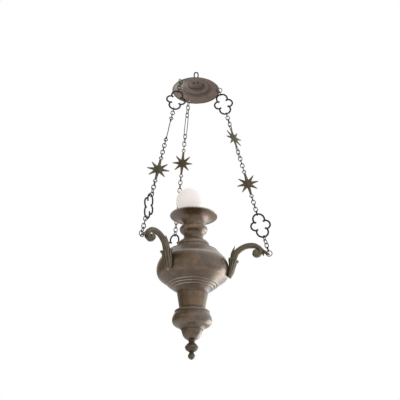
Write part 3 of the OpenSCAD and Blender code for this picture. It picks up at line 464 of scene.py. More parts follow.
cover = {
    "foot": -492, "wall": 1.8, "h": 27, "ledge": 56, "shoulder": 72, "lipIn": 66.12,
    "lipOut": 69.12, "lipDepth": 4, "sway": 0.2, "dents": [[230, 8, 0.4, 9], [340, 8, 0.3, 8]],
    "soot": {"at": 8, "width": 6, "strength": 0.6},
}
face = [
    curve([36.5, cover["h"]], [42.5, 26], [49, 20.9], [cover["ledge"] - 0.6, 18.9]),
    np.array([[cover["ledge"], 17.9], [cover["ledge"] - 0.4, 16.7]]),
    curve([57.4, 15.5], [61, 12.5], [68, 4], [cover["shoulder"], 0]),
]
# The lip, which sits inside the bowl's rim, takes the place of the lining's lowest rows.
lipIn, lipOut, lipZ = cover["lipIn"], cover["lipOut"], -cover["lipDepth"]
lip = [[cover["shoulder"], 0], [lipOut, 0], [lipOut, lipZ], [lipIn, lipZ], [lipIn, cover["wall"]]]
inner = np.vstack([lip, lining(np.vstack(face), cover["wall"])[4:]])
points, quads, wear, dirt = turned(face, inner, cover["foot"], cover["sway"], cover["dents"])
# Painted shade darkens the slope below the ledge, as a bell over the height.
soot = cover["soot"]
dirt = np.maximum(dirt, soot["strength"] * hump(points[:, 2] - cover["foot"] - soot["at"], soot["width"]))
piece("bowlCover", [(points, quads, wear, dirt)], "lamp", ["bowl_cover"], "vessel_metal")

bowl = {
    "foot": -570, "wall": 1.8, "rim": 78, "r": 80, "belly": 53, "neck": 33.4,
    "coneFrom": [72, 33.92], "coneTo": [37.6, 7.6], "ribs": 3, "ribsFrom": 0.46, "ribW": 3.2,
    "ribPitch": 2.2, "ribDepth": 1.0, "sway": 0.35,
    "dents": [
        [318, 60, 0.7, 13], [338, 38, 0.8, 14], [285, 52, 0.35, 12], [225, 56, 0.6, 12], [255, 24, 0.5, 9],
    ],
    # Rubs brighten the upper ribs on the front, partly hand wear and partly a painted highlight.
    "rubs": [[252, 20, 3.0, 12], [232, 14, 2.0, 8]], "rimWearAndHighlight": 3.6,
}
coneFrom, coneTo = np.array(bowl["coneFrom"], float), np.array(bowl["coneTo"], float)
coneDir = unit(coneTo - coneFrom)
coneOut = np.array([-coneDir[1], coneDir[0]])
# Each rib stands out of the cone as half a wave.
across = np.linspace(0, 1, 13)[:, None]
ribs = []
for k in range(bowl["ribs"]):
    start = coneFrom + bowl["ribsFrom"] * (coneTo - coneFrom) + k * bowl["ribPitch"] * bowl["ribW"] * coneDir
    wave = bowl["ribDepth"] * np.sin(math.pi * across) * coneOut
    ribs.append(start + across * bowl["ribW"] * coneDir + wave)
face = [
    curve([cover["shoulder"], bowl["rim"]], [75, 74], [bowl["r"], 65], [bowl["r"], bowl["belly"]]),
    curve([79.95, 51], [79.4, 44], [77, 37.92], coneFrom),
    *ribs,
    curve(coneTo, coneTo + 4 * coneDir, [34, 3], [bowl["neck"], 0]),
]
bowlLine = np.vstack(face)
inner = lining(bowlLine, bowl["wall"])
points, quads, wear, dirt = turned(
    face, inner, bowl["foot"], bowl["sway"], bowl["dents"], step=0.7, turns=224, rubs=bowl["rubs"]
)
# The rim under the cover is rubbed bright and carries a painted highlight line, and that fades down the
# wall.
rim = hump(points[:, 2] - bowl["foot"] - bowl["rim"], bowl["rimWearAndHighlight"])
wear = np.maximum(wear, rim)
dirt = dirt * (1 - rim)
piece("bowl", [(points, quads, wear, dirt)], "lamp", ["bowl"], "vessel_metal", paint="belly_metal")

stem = {"foot": -601.6, "wall": 1.8, "h": 31.6, "bottom": 28, "sway": 0.15, "dents": [[300, 14, 0.3, 8]]}
face = curve([bowl["neck"], stem["h"]], [31.8, 22.12], [29.4, 9.48], [stem["bottom"], 0])
vesselPiece("stem", "stem", stem, [face], lining(face, stem["wall"]))

drop = {
    "foot": -648.6, "wall": 1.8, "h": 47, "lip": 38, "r": 42.8, "bottom": 23.6, "sway": 0.25,
    "dents": [[228, 15, 1.1, 9], [310, 24, 0.4, 9], [270, 28, 0.3, 8]],
}
face = [
    curve([29, drop["h"]], [29, 44], [32, 41.905], [drop["lip"] - 0.6, 40.505]),
    np.array([[drop["lip"], 39.705], [drop["lip"] - 0.2, 38.305]]),
    curve([37.2, 36.505], [38.4, 33.305], [drop["r"], 27.08], [drop["r"], 20.68]),
    curve([42.6, 18.68], [42.2, 13.68], [39.4, 10.155], [35.4, 8.155]),
    curve([33.6, 7.355], [29, 5.555], [25.6, 3.4], [drop["bottom"], 0]),
]
vesselPiece("pendantDrop", "pendant_drop", drop, face, lining(np.vstack(face), drop["wall"]), "belly_metal")

cone = {"foot": -672, "h": 23.4, "top": 22.6, "bottom": 7.4, "rodHole": 4.2, "sway": 0.1, "dents": []}
face = [
    curve([cone["top"], cone["h"]], [21.6, 16.85], [19.6, 10.3], [15.8, 6.55]),
    curve([14.2, 4.91], [11.4, 2.81], [8.8, 1.87], [cone["bottom"], 0]),
]
rodHole, coneH = cone["rodHole"], cone["h"]
bore = [[cone["bottom"], 0], [rodHole, 0], [rodHole, coneH], [cone["top"], coneH]]
vesselPiece("pendantCone", "pendant_cone", cone, face, np.array(bore), "belly_metal")

finial = {"foot": -712, "h": 40, "top": 6.8, "ball": 14.2, "drop": 7.6, "sway": 0.06}
face = [
    np.array([[finial["top"], finial["h"]], [finial["top"], 38.6]]),
    curve([6, 37.4], [5.6, 36], [8.8, 34.8], [11.36, 31.4]),
    curve([finial["ball"], 27.4], [finial["ball"], 21.6], [9.66, 18.4], [5.2, 16.6]),
    curve([4.6, 15.4], [4.6, 13], [finial["drop"], 11.8], [finial["drop"], 8.2]),
    curve([7.4, 6.6], [6.8, 3], [3, 1.2], [0.05, 0]),
]
parts = [turned(face, None, finial["foot"], finial["sway"], step=0.45, turns=128, ease=4)]
piece("finial", parts, "lamp", ["finial"], "vessel_metal", paint="arm_metal")
print("vessel made")

# Canopy: stepped sheet with a rolled bead, drilled for the loop's legs and the three chains.
# Holes are given by their distance from the axis, height and diameter, the painted shade of
# the steps by its radius, width and strength.
canopy = {
    "z": -52, "wall": 1.4, "h": 24, "beadAt": [56.6, 0], "beadR": 1.4,
    "chainHole": [53.775, 2, 5.2], "legHole": [4.7, 22, 3.4], "drill": 9.0, "sway": 0.3,
    "dents": [[240, 4, 0.5, 8], [320, 3, 0.4, 8], [80, 4, 0.5, 9]], "grime": 0.35,
    "soot": [[22, 3, 0.4], [35.5, 2.8, 0.6]], "beadFrom": 55, "beadShade": 0.7,
}
azimuths = {"right": -9, "back": 109, "left": 231}
face = [
    curve([axisGap, canopy["h"]], [11.4, 24], [19, 22], [20, 19]),
    curve([20.6, 16.6], [22, 14.4], [23, 13.8], [25, 13.4]),
    curve([31, 12.6], [33, 12.2], [34, 11.4], [34.6, 8.4]),
    np.array([[55.6, 1.04]]),
]
top = np.vstack(face)
outline = [arc(canopy["beadAt"], canopy["beadR"], 100, -200), lining(top, canopy["wall"])]
points, quads, wear, dirt = turned(
    outline, top, canopy["z"], canopy["sway"], canopy["dents"], grime=canopy["grime"]
)
# Painted shade darkens both steps, as bells across the radius, and the bead.
reach = np.hypot(points[:, 0], points[:, 1])
for radius, width, strength in canopy["soot"]:
    dirt = dirt + strength * hump(reach - radius, width)
dirt = np.clip(dirt + canopy["beadShade"] * (reach > canopy["beadFrom"]), 0, 1)
plate = piece("canopyPlate", [(points, quads, wear, dirt)], "canopy", ["canopy_plate"], "canopy_metal")

holes = []
for azimuth in azimuths.values():
    out, above, d = canopy["chainHole"]
    holes.append([*aboutZ(np.array([out, 0, canopy["z"] + above]), azimuth), d])
for s in (-1, 1):
    out, above, d = canopy["legHole"]
    holes.append([s * out, 0, canopy["z"] + above, d])
turn = circle(32)
rise = np.array([-canopy["drill"], canopy["drill"]])[:, None]
cutters = []
for x, y, z, d in holes:
    rings = [x + d / 2 * np.cos(turn) + 0 * rise, y + d / 2 * np.sin(turn) + 0 * rise, z + rise + 0 * turn]
    points, quads, _, _ = skin(domed(np.stack(rings, axis=-1), 0.5))
    cutter = newObject("cutter", newMesh("cutter", points * millimetre, quads))
    cut = plate.modifiers.new("hole", "BOOLEAN")
    cut.object = cutter
    cut.operation = "DIFFERENCE"
    cut.solver = "EXACT"
    cutters.append(cutter)
drilled = bpy.data.meshes.new_from_object(plate.evaluated_get(bpy.context.evaluated_depsgraph_get()))
plate.modifiers.clear()
plate.data = drilled
for cutter in cutters:
    bpy.data.objects.remove(cutter)

# Hanging loop: up one leg, half round and down the other, each leg burred over under the dome.
loop = {
    "wire": 3, "legX": canopy["legHole"][0], "bendZ": -3.2, "legFoot": -30.6, "burrH": 1.6, "burrD": 5,
    "burrTaper": 0.5, "waver": 0.12,
}
rise = np.linspace(loop["legFoot"], loop["bendZ"], 20)[:-1, None]
legs = [np.hstack([0 * rise + s * loop["legX"], rise]) for s in (-1, 1)]
bend = arc([0, loop["bendZ"]], loop["legX"], 180, 0, 32)
path = np.vstack([legs[0], bend, legs[1][::-1]])
path = np.stack([path[:, 0], loop["waver"] * np.sin(path[:, 1] * 0.4), path[:, 1]], axis=1)
parts = [wire(path, loop["wire"] / 2, planeSide, sides=20)]
piece("hangingLoop", parts, "canopy", ["hanging_loop"], "chain_metal")
parts = []
foot = np.linspace(loop["legFoot"] - loop["burrH"], loop["legFoot"], 8)
burrR = np.linspace(loop["burrD"] / 2 - loop["burrTaper"], loop["burrD"] / 2, 8)
for s in (-1, 1):
    burr = np.stack([0 * foot + s * loop["legX"], 0 * foot, foot], axis=1)
    parts.append(wire(burr, burrR, planeSide, sides=20, dirt=0.0))
piece("loopBurrs", parts, "canopy", ["hanging_loop"], "chain_metal", paint="canopy_metal")
print("canopy made")

# Chains: from the ring in the canopy's bead to the ring in the arm's beak, in the arm's plane.
chain = {
    "pivot": [168, -486.5], "barR": 1.6, "endD": 13, "endWire": 1.8, "linkWire": 1.9, "linkW": 8.1,
    "slack": 0.3, "endSlack": 0.95, "lean": 0.05, "twist": 7,
}
beadMid = np.array([canopy["beadAt"][0], canopy["z"] + canopy["beadAt"][1]])
chainDir = unit(np.array(chain["pivot"]) - beadMid)
ringIn = (chain["endD"] - chain["endWire"]) / 2
lowHang = ringIn - chain["endSlack"] - chain["barR"]
topRing = beadMid + (ringIn - chain["slack"] - canopy["beadR"]) * chainDir
lowRing = np.array(chain["pivot"]) - lowHang * chainDir
chainTilt = math.degrees(math.atan2(chainDir[0], -chainDir[1]))
chainRun = np.linalg.norm(lowRing - topRing)

quatrefoil = {
    "h": 60, "wire": 3.4, "longR": 12.5, "sideR": 9.8, "longZ": 15.8, "sideX": 11.5,
    "longFrom": -40.68, "sideTo": 108.37, "swell": 0.3, "cuspThin": 0.42, "cuspRun": 0.09,
}
star = {
    "span": 64, "ray": 24.5, "core": 10, "ridge": 4, "edge": 1.2, "tip": 1.8, "point": 0.25,
    "bar": 4.2, "eyeD": 7.6, "eyeWire": 2, "beadAt": 24.6, "beadR": 2.9,
}
wireLink = {
    "h": 75, "wire": 2, "eyeD": 7.4, "bow": 0.25, "wrapWire": 1.1, "wrapTurns": 3, "wrapFrom": 1,
    "wrapPitch": 0.18, "wrapOut": 0.45,
}
wireLoop = {"h": 50, "w": 10, "wire": 1.8, "bow": 0.3}
# The wire and the height of each kind of piece. A plain link's height follows from the chain's.
kinds = {
    "end": [chain["endWire"], chain["endD"]],
    "quatrefoil": [quatrefoil["wire"], quatrefoil["h"] - quatrefoil["wire"]],
    "star": [star["eyeWire"], star["span"] + star["eyeD"]],
    "wireLink": [wireLink["wire"], wireLink["h"] - wireLink["wire"]],
    "wireLoop": [wireLoop["wire"], wireLoop["h"] - wireLoop["wire"]],
    "link": [chain["linkWire"], 0],
}
# Each chain: how many links lie before, between and after its pendants, and each pendant's node,
# kind and turn.
chains = {
    "right": {
        "counts": [1, 4, 6, 5, 4],
        "pendants": [
            ["right_upper_quatrefoil", "quatrefoil", 5], ["right_upper_star", "star", 52],
            ["right_lower_star", "star", 5], ["right_lower_quatrefoil", "quatrefoil", 10],
        ],
    },
    "back": {
        "counts": [3, 4, 4, 4, 5],
        "pendants": [
            ["back_wire_loop", "wireLoop", 30], ["back_upper_star", "star", 65],
            ["back_lower_star", "star", -25], ["back_lower_quatrefoil", "quatrefoil", 35],
        ],
    },
    "left": {
        "counts": [3, 3, 5, 4, 4],
        "pendants": [
            ["left_upper_quatrefoil", "quatrefoil", -45], ["left_wire_link", "wireLink", -45],
            ["left_star", "star", -50], ["left_lower_quatrefoil", "quatrefoil", 20],
        ],
    },
}
linkLook = {
    "step": 0.5, "seamThin": 0.18, "seamRun": 0.02, "seamDirt": 0.8, "dirt": 0.15,
    "hangFrom": 0.42, "hangWear": 0.5, "wear": 0.2,
}


# A link standing in the XZ plane: two half circles joined by straight sides. The wire is thinned
# a little where the link is closed and rubbed bright where its neighbours hang.
def linkPart(tall, wide, thick, seam=0.02, lean=0.0):
    run = (tall - wide) / 2
    over, under = arc([0, run], wide / 2, 0, 180, 40), arc([0, -run], wide / 2, 180, 360, 40)
    line = even(np.vstack([over, under, [[wide / 2, run]]]), linkLook["step"], 0)[:-1]
    path = np.stack([line[:, 0], math.tan(lean) * line[:, 0], line[:, 1]], axis=1)
    away = (np.arange(len(line)) / len(line) - seam + 0.5) % 1 - 0.5
    joint = hump(away, linkLook["seamRun"])
    hanging = np.abs(line[:, 1]) > linkLook["hangFrom"] * tall
    wear = (linkLook["wear"] + linkLook["hangWear"] * hanging)[:, None]
    dirt = (linkLook["dirt"] + linkLook["seamDirt"] * joint)[:, None]
    return wire(path, thick / 2 * (1 - linkLook["seamThin"] * joint), planeSide, True, wear=wear, dirt=dirt)


# Four arcs of wire whose ends run past each other as tapered cusps. The section swells outwards
# in the plane of the quatrefoil.
def quatrefoilParts():
    half = quatrefoil["wire"] / 2 + quatrefoil["swell"]
    flat = quatrefoil["wire"] / 2 / half
    run = np.linspace(0, 1, 57)
    cusp = np.clip(1 - np.minimum(run, 1 - run) / quatrefoil["cuspRun"], 0, 1) ** 1.5
    taper = 1 - quatrefoil["cuspThin"] * cusp
    longArc = [quatrefoil["longR"], quatrefoil["longFrom"], 180 - quatrefoil["longFrom"]]
    sideArc = [quatrefoil["sideR"], -quatrefoil["sideTo"], quatrefoil["sideTo"]]
    parts = []
    for s, flip in ((1, 0), (-1, 180)):
        lobes = [[[0, s * quatrefoil["longZ"]], longArc], [[s * quatrefoil["sideX"], 0], sideArc]]
        for centre, (r, low, high) in lobes:
            line = arc(centre, r + quatrefoil["swell"], low + flip, high + flip, 56)
            path = np.insert(line, 1, 0, axis=1)
            parts.append(wire(path, half * taper, planeSide, sides=16, flat=flat))
    return parts


# A star in the XZ plane: its outline shrinks to the middle while the thickness grows from the
# edge to the middle, so each ray has a ridge. The two long rays carry a bead and end in eyes.
def starParts():
    outline, bright, dark = [], [], []
    t = np.linspace(0, 1, 15)
    ridge = np.concatenate([t, [1], t[::-1][:-1]])
    half = math.pi / 8
    coreOut, coreSide = star["core"] * math.cos(half), star["core"] * math.sin(half)
    for k in range(8):
        a = math.pi / 2 + k * math.pi / 4
        isLong = k % 4 == 0
        reach = (star["span"] - star["eyeD"]) / 2 if isLong else star["ray"]
        tip = star["bar"] if isLong else star["tip"]
        along = coreOut + (reach - coreOut) * t
        beside = coreSide + (tip / 2 - coreSide) * t ** 0.85
        along = np.concatenate([along, [reach + star["point"]], along[::-1][:-1]])
        beside = np.concatenate([-beside, [0], beside[::-1][:-1]])
        x = along * math.cos(a) - beside * math.sin(a)
        z = along * math.sin(a) + beside * math.cos(a)
        outline.append(np.stack([x, z], axis=1))
        # Rays are worn towards their tips and dirty in the notches between them.
        bright.append(0.25 + 0.6 * ridge ** 3)
        dark.append(0.75 * (1 - ridge) ** 2)
    rim, bright, dark = np.vstack(outline), np.concatenate(bright), np.concatenate(dark)
    u = np.concatenate([np.linspace(0.004, 1, 10), np.linspace(1, 0.004, 10)])[:, None]
    thick = (star["edge"] + (star["ridge"] - star["edge"]) * (1 - u)) / 2
    thick[:10] *= -1
    rings = np.stack([rim[None, :, 0] * u, thick + 0 * rim[None, :, 0], rim[None, :, 1] * u], axis=-1)
    parts = [skin(rings, False, bright[None] * u, dark[None] * u)]
    # Each bead is a ball, a little flattened.
    y = np.linspace(-1, 1, 13)[:, None]
    q = circle(20)
    r = np.sqrt(np.maximum(1 - y ** 2, 1e-5))
    bead = star["beadR"] * np.stack([r * np.cos(q), 0.9 * r * np.sin(q), 0.85 * y + 0 * q], axis=-1)
    for s in (1, -1):
        eye = linkPart(star["eyeD"], star["eyeD"], star["eyeWire"])
        eye[0][:, 2] += s * star["span"] / 2
        parts.append(eye)
        parts.append(skin(bead + [0, 0, s * star["beadAt"]], False, 0.4, 0.1))
    return parts


# A straight wire with an eye at each end; the wire's own tail is wound round it below each eye.
def wireLinkParts():
    eyeMid = (wireLink["h"] - wireLink["wire"] - wireLink["eyeD"]) / 2
    end = eyeMid - wireLink["eyeD"] / 2
    z = np.linspace(-end, end, 40)
    straight = np.stack([wireLink["bow"] * np.sin(math.pi * z / end), 0 * z, z], axis=1)
    parts = [wire(straight, wireLink["wire"] / 2, planeSide)]
    q = np.linspace(0, 2 * math.pi * wireLink["wrapTurns"], 60)
    r = wireLink["wire"] / 2 + wireLink["wrapOut"]
    for s in (1, -1):
        eye = linkPart(wireLink["eyeD"], wireLink["eyeD"], wireLink["wire"])
        eye[0][:, 2] += s * eyeMid
        parts.append(eye)
        down = s * (end - wireLink["wrapFrom"] - wireLink["wrapPitch"] * q)
        coil = np.stack([r * np.cos(q), r * np.sin(q), down], axis=1)
        parts.append(wire(coil, wireLink["wrapWire"] / 2, [0, 0, 1], sides=10, dirt=0.4))
    return parts


# A long narrow loop: two half circles and two straight sides that bow out slightly.
def wireLoopParts():
    r = (wireLoop["w"] - wireLoop["wire"]) / 2
    straight = (wireLoop["h"] - wireLoop["w"]) / 2
    z = np.linspace(-straight, straight, 24)[1:-1]
    side = np.stack([r + wireLoop["bow"] * np.cos(math.pi * z / (2 * straight)), z], axis=1)
    over, under = arc([0, straight], r, 0, 180, 20), arc([0, -straight], r, 180, 360, 20)
    line = np.vstack([over, (side * [-1, 1])[::-1], under, side])
    return [wire(np.insert(line, 1, 0, axis=1), wireLoop["wire"] / 2, planeSide, True)]


makers = {
    "quatrefoil": quatrefoilParts,
    "star": starParts,
    "wireLink": wireLinkParts,
    "wireLoop": wireLoopParts,
}


# A piece's points hung at a distance below the top ring, turned about the chain.
def hung(points, side, below, turn):
    p = aboutZ(points, turn) - [0, 0, below]
    return aboutZ(aboutY(p, -chainTilt) + [topRing[0], 0, topRing[1]], azimuths[side])


# Links turn by equal steps, about a quarter turn each, from one pendant to the next.
for side, spec in chains.items():
    order, turnNow = [["end", 0, ""]], 0
    for count, (node, kind, nextTurn) in zip(spec["counts"], spec["pendants"] + [["", "end", 0]]):
        halfTurns = math.floor((90 * (count + 1) - nextTurn + turnNow) / 180 + 0.5)
        total = nextTurn - turnNow + 180 * halfTurns
        order += [["link", turnNow + total * (i + 1) / (count + 1), ""] for i in range(count)]
        order.append([kind, nextTurn, node])
        turnNow = nextTurn
    hitches = [(kinds[a[0]][0] + kinds[b[0]][0]) / 2 + chain["slack"] for a, b in zip(order, order[1:])]
    fixedH = sum(kinds[e[0]][1] for e in order)
    linkH = (chainRun + chain["endD"] - fixedH + sum(hitches)) / sum(spec["counts"])
    tall = [linkH if e[0] == "link" else kinds[e[0]][1] for e in order]
    linkParts, below = [], 0
    for k, (kind, turn, node) in enumerate(order):
        if k:
            below += (tall[k - 1] + tall[k]) / 2 - hitches[k - 1]
        if kind in ("link", "end"):
            free = kind == "link" and order[k - 1][0] == "link" and order[k + 1][0] == "link"
            wide = chain["linkW"] if kind == "link" else chain["endD"]
            seam = chance.uniform(0, 1)
            lean = chance.uniform(-chain["lean"], chain["lean"]) if free else 0
            twist = chance.uniform(-chain["twist"], chain["twist"]) if free else 0
            part = linkPart(tall[k], wide, kinds[kind][0], seam, lean)
            linkParts.append((hung(part[0], side, below, turn + twist), *part[1:]))
        else:
            made = [(hung(p[0], side, below, turn), *p[1:]) for p in makers[kind]()]
            name = "".join(w.capitalize() if i else w for i, w in enumerate(node.split("_")))
            piece(name, made, node, [node], "chain_metal", 24, "star_metal" if kind == "star" else None)
    piece(side + "ChainLinks", linkParts, "chain_" + side, [side + "_chain_links"], "chain_metal")
print("chains made")

# Arms, drawn in one plane from the bowl's largest radius and turned to their places.
arm = {
    "bellyZ": bowl["foot"] + bowl["belly"], "gap": 0.35, "scrollAt": [58.5, 35.5], "scrollR": 10.2,
    "bossR": 6.6, "bossHalf": 7.6, "bossDome": 2.2, "beakTo": [9.5, -6.5],
}
armPivot = np.array(chain["pivot"]) - [bowl["r"], arm["bellyZ"]]
eyelet = {"hole": 6, "back": 6.0, "half": 4.9, "thick": 2.6, "thinner": 1.4, "neck": 3.4}
bowlUp = bowlLine[::-1, 1] + bowl["foot"]
bowlOut = bowlLine[::-1, 0]
# The leaf's lip turned in: rows of [share of the rim, way along the limb, wear, dirt].
leafLip = np.array([
    [0.96, 0.7, 0.8, 0], [0.88, 0.6, 0.5, 0.1], [0.8, -0.8, 0, 0.6], [0.72, -3, 0, 1], [0.6, -5, 0, 1],
])
limbLook = {"wear": 0.1, "lobeWear": 0.6, "fluteDirt": 0.55}


# A limb along stations [reach, height, half thickness, half width]: rounded sections square to
# its path. Flutes are lobes of a folded cosine that deepen along the limb, a ridge sharpens the
# section's outer and inner edge, and what would enter the bowl is pushed out to its wall.
def limb(way, flutes=0, depth=(0, 0), ridge=1.0, clear=False, scallop=0.0, rim=False, sides=60):
    w = through(way)
    run = np.linspace(0, 1, len(w))[:, None]
    t = unit(np.gradient(w[:, :2], axis=0))
    q = circle(sides)
    lobe = 2 * np.abs(np.cos(flutes * q / 2)) ** 0.8 - 1 if flutes else 0 * q
    swell = 1 + (depth[0] + (depth[1] - depth[0]) * run ** 1.5) * lobe
    u = w[:, 2:3] * swell * np.sign(np.cos(q)) * np.abs(np.cos(q)) ** ridge
    v = w[:, 3:4] * swell * np.sin(q)
    push = scallop * (lobe + 1) / 2 * np.clip((run - 0.7) / 0.3, 0, 1) ** 2
    out = bowl["r"] + w[:, 0:1] - t[:, 1:2] * u + t[:, 0:1] * push
    up = arm["bellyZ"] + w[:, 1:2] + t[:, 0:1] * u + t[:, 1:2] * push
    wear = np.clip(lobe, 0, 1) * limbLook["lobeWear"] + limbLook["wear"] + 0 * run
    dirt = np.clip(-lobe, 0, 1) * limbLook["fluteDirt"] + 0 * run
    rings = np.stack([out, v, up], axis=-1)
    if rim:
        centre = rings[-1].mean(axis=0)
        away = unit(centre - rings[-2].mean(axis=0))
        turnedIn = [centre + share * (rings[-1] - centre) + along * away for share, along in leafLip[:, :2]]
        rings = np.concatenate([rings, turnedIn])
        wear = np.vstack([wear, np.repeat(leafLip[:, 2:3], sides, axis=1)])
        dirt = np.vstack([dirt, np.repeat(leafLip[:, 3:4], sides, axis=1)])
    if clear:
        least = np.interp(rings[..., 2], bowlUp, bowlOut) + arm["gap"]
        wall = np.sqrt(np.maximum(least ** 2 - rings[..., 1] ** 2, 0))
        rings[..., 0] = np.maximum(rings[..., 0], wall)
    rings = domed(rings, 0.0 if rim else 0.5 * w[-1, 2])
    pad = [(len(domeShares), len(domeShares)), (0, 0)]
    return skin(rings, False, np.pad(wear, pad, "edge"), np.pad(dirt, pad, "edge"))


# A sine or cosine drawn out towards its ends, which makes a circle a rounded square.
def squarer(x):
    return np.sign(x) * np.abs(x) ** 0.6


# The beak's eye: a plate round the hole whose rounded section runs from the hole's edge to an
# egg-shaped outline, thinner towards the tip.
def beakEye(hole, beakDir, reach):
    turn = circle(64).T
    q = circle(24)
    fore = np.where(np.cos(turn) > 0, reach, eyelet["back"])
    outer = 1 / np.sqrt((np.cos(turn) / fore) ** 2 + (np.sin(turn) / eyelet["half"]) ** 2)
    inner = eyelet["hole"] / 2
    r = (inner + outer) / 2 + (outer - inner) / 2 * squarer(np.cos(q))
    along, over = r * np.cos(turn), r * np.sin(turn)
    half = eyelet["thick"] - eyelet["thinner"] * np.clip(along / reach, -0.3, 1)
    thick = half * squarer(np.sin(q))
    out = bowl["r"] + hole[0] + along * beakDir[0] - thick * beakDir[1]
    up = arm["bellyZ"] + hole[1] + along * beakDir[1] + thick * beakDir[0]
    return skin(np.stack([out, over, up], axis=-1), True, 0.35, 0.15)


# A boss on the scroll's axis: a cylinder with two domed ends that stand proud of the scroll.
def scrollBoss():
    a = np.linspace(-math.pi / 2, math.pi / 2, 15)
    near, far = a[:8], a[7:]
    half, dome = arm["bossHalf"], arm["bossDome"]
    y = np.concatenate([-half + dome * np.sin(near), half + dome * np.sin(far)])[:, None]
    r = arm["bossR"] * np.maximum(np.concatenate([np.cos(near), np.cos(far)]), 0.004)[:, None]
    q = circle(32)
    out = bowl["r"] + arm["scrollAt"][0] + r * np.cos(q)
    up = arm["bellyZ"] + arm["scrollAt"][1] + r * np.sin(q)
    return skin(np.stack([out, y + 0 * q, up], axis=-1), False, 0.5, 0.15)


leafWay = [
    [-1.5, -17, 3.4, 5], [2, -11, 6, 9.5], [5.4, 1, 7, 11.5],
    [7.4, 12, 8.2, 11], [8.4, 17.5, 9.8, 12.6], [9, 19.5, 11, 13.6],
]
# The scroll rolls in about its own middle while it gets thinner and wider.
scrollTurn = np.radians([90, 40, -10, -60, -110, -160, -210])
scrollOut = arm["scrollR"] * np.array([1.6, 1.25, 0.86, 0.62, 0.5, 0.44, 0.38])
scrollX = arm["scrollAt"][0] + scrollOut * np.cos(scrollTurn)
scrollZ = arm["scrollAt"][1] + scrollOut * np.sin(scrollTurn)
fade = np.linspace(0, 1, len(scrollTurn))
scrollWay = np.stack([scrollX, scrollZ, 5.6 - 2.2 * fade, 6.4 + fade], axis=1)
stemWay = [
    [6, 6, 6, 7], [8.6, 22.5, 7.4, 8], [14.5, 36.5, 6.8, 7.4],
    [24.5, 46, 6.2, 6.6], [36.5, 52.2, 6, 6.2], [48.5, 53.6, 6.2, 6.2],
    *scrollWay.tolist(),
]
# The hole lies on the beak's line, as far back as the hanging ring's wire is.
beakDir = unit(np.array(arm["beakTo"]))
leanBack = lowHang * chainDir @ beakDir
holeBack = leanBack + math.sqrt(leanBack ** 2 + (chain["endD"] / 2) ** 2 - lowHang ** 2)
hole = armPivot - holeBack * beakDir
neck = hole - eyelet["neck"] * beakDir
beakWay = [[57, 51, 3, 4], [65, 49.4, 3.6, 5.6], [71, 44, 3.4, 5.6], [neck[0], neck[1], 2.7, 5]]
prongWay = [[69, 46, 3, 5], [73.4, 37, 2.8, 4.6], [75.2, 28.5, 0.9, 1.8]]
thornWay = [[4, 22, 3, 5.6], [7.4, 39, 2.8, 4.4], [12.8, 54, 0.5, 0.8]]
armParts = [
    limb(leafWay, 11, (0.02, 0.12), clear=True, scallop=2.4, rim=True, sides=110),
    limb(stemWay, 10, (0.05, 0.02), clear=True, sides=80),
    limb(beakWay, ridge=1.3),
    limb(prongWay, ridge=1.3),
    limb(thornWay, ridge=1.3, clear=True),
    beakEye(hole, beakDir, holeBack + 0.75 * chain["barR"]),
    scrollBoss(),
]
for side, azimuth in azimuths.items():
    made = [(aboutZ(p[0], azimuth), *p[1:]) for p in armParts]
    piece(side + "Arm", made, "lamp", [side + "_arm"], "arm_metal", 44)
print("arms made")

# Bulb: a sphere that runs into a neck, leaning with its holder.
bulb = {
    "r": 30, "mid": 65, "neck": 13.6, "foot": 26, "wall": 1, "lean": 8, "leanX": 6.409,
    "holderZ": -426.4, "seat": 12.4,
}
face = [
    arc([0, bulb["mid"]], bulb["r"], 89.9, -28, 60),
    curve([22.98, 45.72], [17.98, 39.72], [15.2, 40], [bulb["neck"], bulb["foot"]]),
]
inner = lining(np.vstack(face), bulb["wall"])
points, quads, wear, dirt = turned(face, inner, 0, 0, step=0.8, turns=128, ease=6)
points = aboutY(points + [bulb["leanX"], 0, bulb["seat"]], -bulb["lean"])
points = points + [-bulb["leanX"], 0, bulb["holderZ"]]
piece("bulbGlass", [(points, quads, wear, dirt)], "bulb", ["bulb_glass"], "opal_glass", 80)

kept = {
    "tie_rod": "steel", "rod_washer": "steel", "rod_nut": "steel", "lampholder": "holder",
    "lampholder_contact": "old_brass", "bulb_cap": "old_brass", "arm_rivets": "old_brass",
}
for node, slotName in kept.items():
    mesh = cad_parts[node].data
    mesh.materials.clear()
    mesh.materials.append(materials[slotName])
print("bulb made, CAD pieces painted:", len(kept))

# Stage, in metres: a pale floor below the camera.
corners = np.array([(-8, -8, -2), (8, -8, -2), (8, 8, -2), (-8, 8, -2)])
mesh = newMesh("floor", corners, np.array([[0, 1, 2, 3]]))
floorPlane = newObject("floor", mesh)
newMaterial("floorPaint", {"Base Color": (0.8, 0.79, 0.78, 1), "Roughness": 0.95})
mesh.materials.append(materials["floorPaint"])

# The room is white, brighter behind and to the right and warmer on its dim side.
# Spans run over how far a direction looks towards the bright side.
room = {
    "towards": (0.86, 0.3, 0.42), "dimTone": (1, 0.82, 0.64, 1), "brightTone": (1, 0.99, 0.98, 1),
    "toned": [-0.5, 0.5], "level": [-0.25, 0.95, 0.26, 1.3], "mirrored": [0.0, 0.8],
}
world = bpy.data.worlds.new("room")
bpy.context.scene.world = world
world.use_nodes = True
tree = world.node_tree
tree.nodes.clear()
way = add(tree, "ShaderNodeTexCoord").outputs["Generated"]
feeds = {0: way, 1: room["towards"]}
aim = add(tree, "ShaderNodeVectorMath", feeds, operation="DOT_PRODUCT").outputs["Value"]
level = spanned(tree, aim, *room["level"])
tint = blendColour(tree, spanned(tree, aim, *room["toned"]), room["dimTone"], room["brightTone"])
walls = add(tree, "ShaderNodeBackground", {"Color": tint, "Strength": level}).outputs[0]
white = add(tree, "ShaderNodeBackground", {"Color": (1, 1, 1, 1), "Strength": 1.0}).outputs[0]
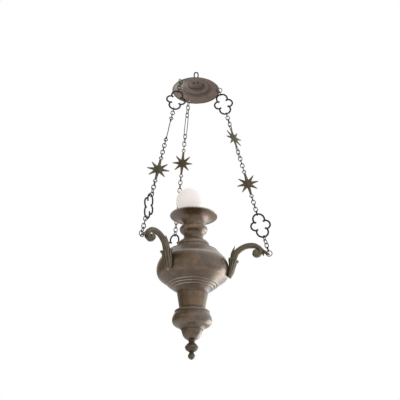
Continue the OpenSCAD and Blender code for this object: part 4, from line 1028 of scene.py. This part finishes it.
# The camera sees the white background all round, metal and glass see it on its bright side.
path = add(tree, "ShaderNodeLightPath").outputs
mirrored = sums(tree, "MAXIMUM", path["Is Glossy Ray"], path["Is Transmission Ray"])
mirrored = sums(tree, "MULTIPLY", mirrored, spanned(tree, aim, *room["mirrored"]))
seen = sums(tree, "MAXIMUM", path["Is Camera Ray"], mirrored)
mixed = add(tree, "ShaderNodeMixShader", {0: seen, 1: walls, 2: white}).outputs[0]
add(tree, "ShaderNodeOutputWorld", {"Surface": mixed})

# Each lamp: its place, what it shines at, its size, power and tone.
lamps = {
    "key": [(1.5, 1.1, -1.2), (0.0, 0.0, -0.5), 1.5, 20.0, (1, 0.98, 0.96)],
    "fill": [(-1.5, -0.9, -0.1), (0.0, 0.0, -0.45), 0.9, 1.4, (1, 0.95, 0.9)],
    "front": [(-0.25, -1.9, -0.15), (0.0, 0.0, -0.4), 2.2, 7.6, (1, 0.89, 0.75)],
}
for name, (place, aimAt, size, power, tone) in lamps.items():
    light = bpy.data.lights.new(name, "AREA")
    light.size = size
    light.energy = power
    light.color = tone
    obj = newObject(name, light)
    way = unit(np.array(aimAt) - np.array(place))
    side = unit(np.cross(way, [0.0, 0.0, 1.0]))
    above = np.cross(side, way)
    turn = Matrix([[side[k], above[k], -way[k]] for k in range(3)]).to_4x4()
    obj.matrix_world = Matrix.Translation(place) @ turn

# Camera below the lamp, looking up at the photograph's angle.
shot = {
    "at": (0.0135, -1.5735, -1.0726), "tilt": 114.8, "roll": 0.75, "lens": 68.4, "near": 0.05,
    "far": 40.0,
}
camera = bpy.data.cameras.new("camera")
camera.lens = shot["lens"]
camera.clip_start = shot["near"]
camera.clip_end = shot["far"]
eye = newObject("camera", camera)
tilt = Matrix.Rotation(math.radians(shot["tilt"]), 4, "X")
roll = Matrix.Rotation(math.radians(shot["roll"]), 4, "Z")
eye.matrix_world = Matrix.Translation(shot["at"]) @ tilt @ roll
bpy.context.scene.camera = eye
bpy.context.scene.view_settings.view_transform = "Standard"

print("stage set")
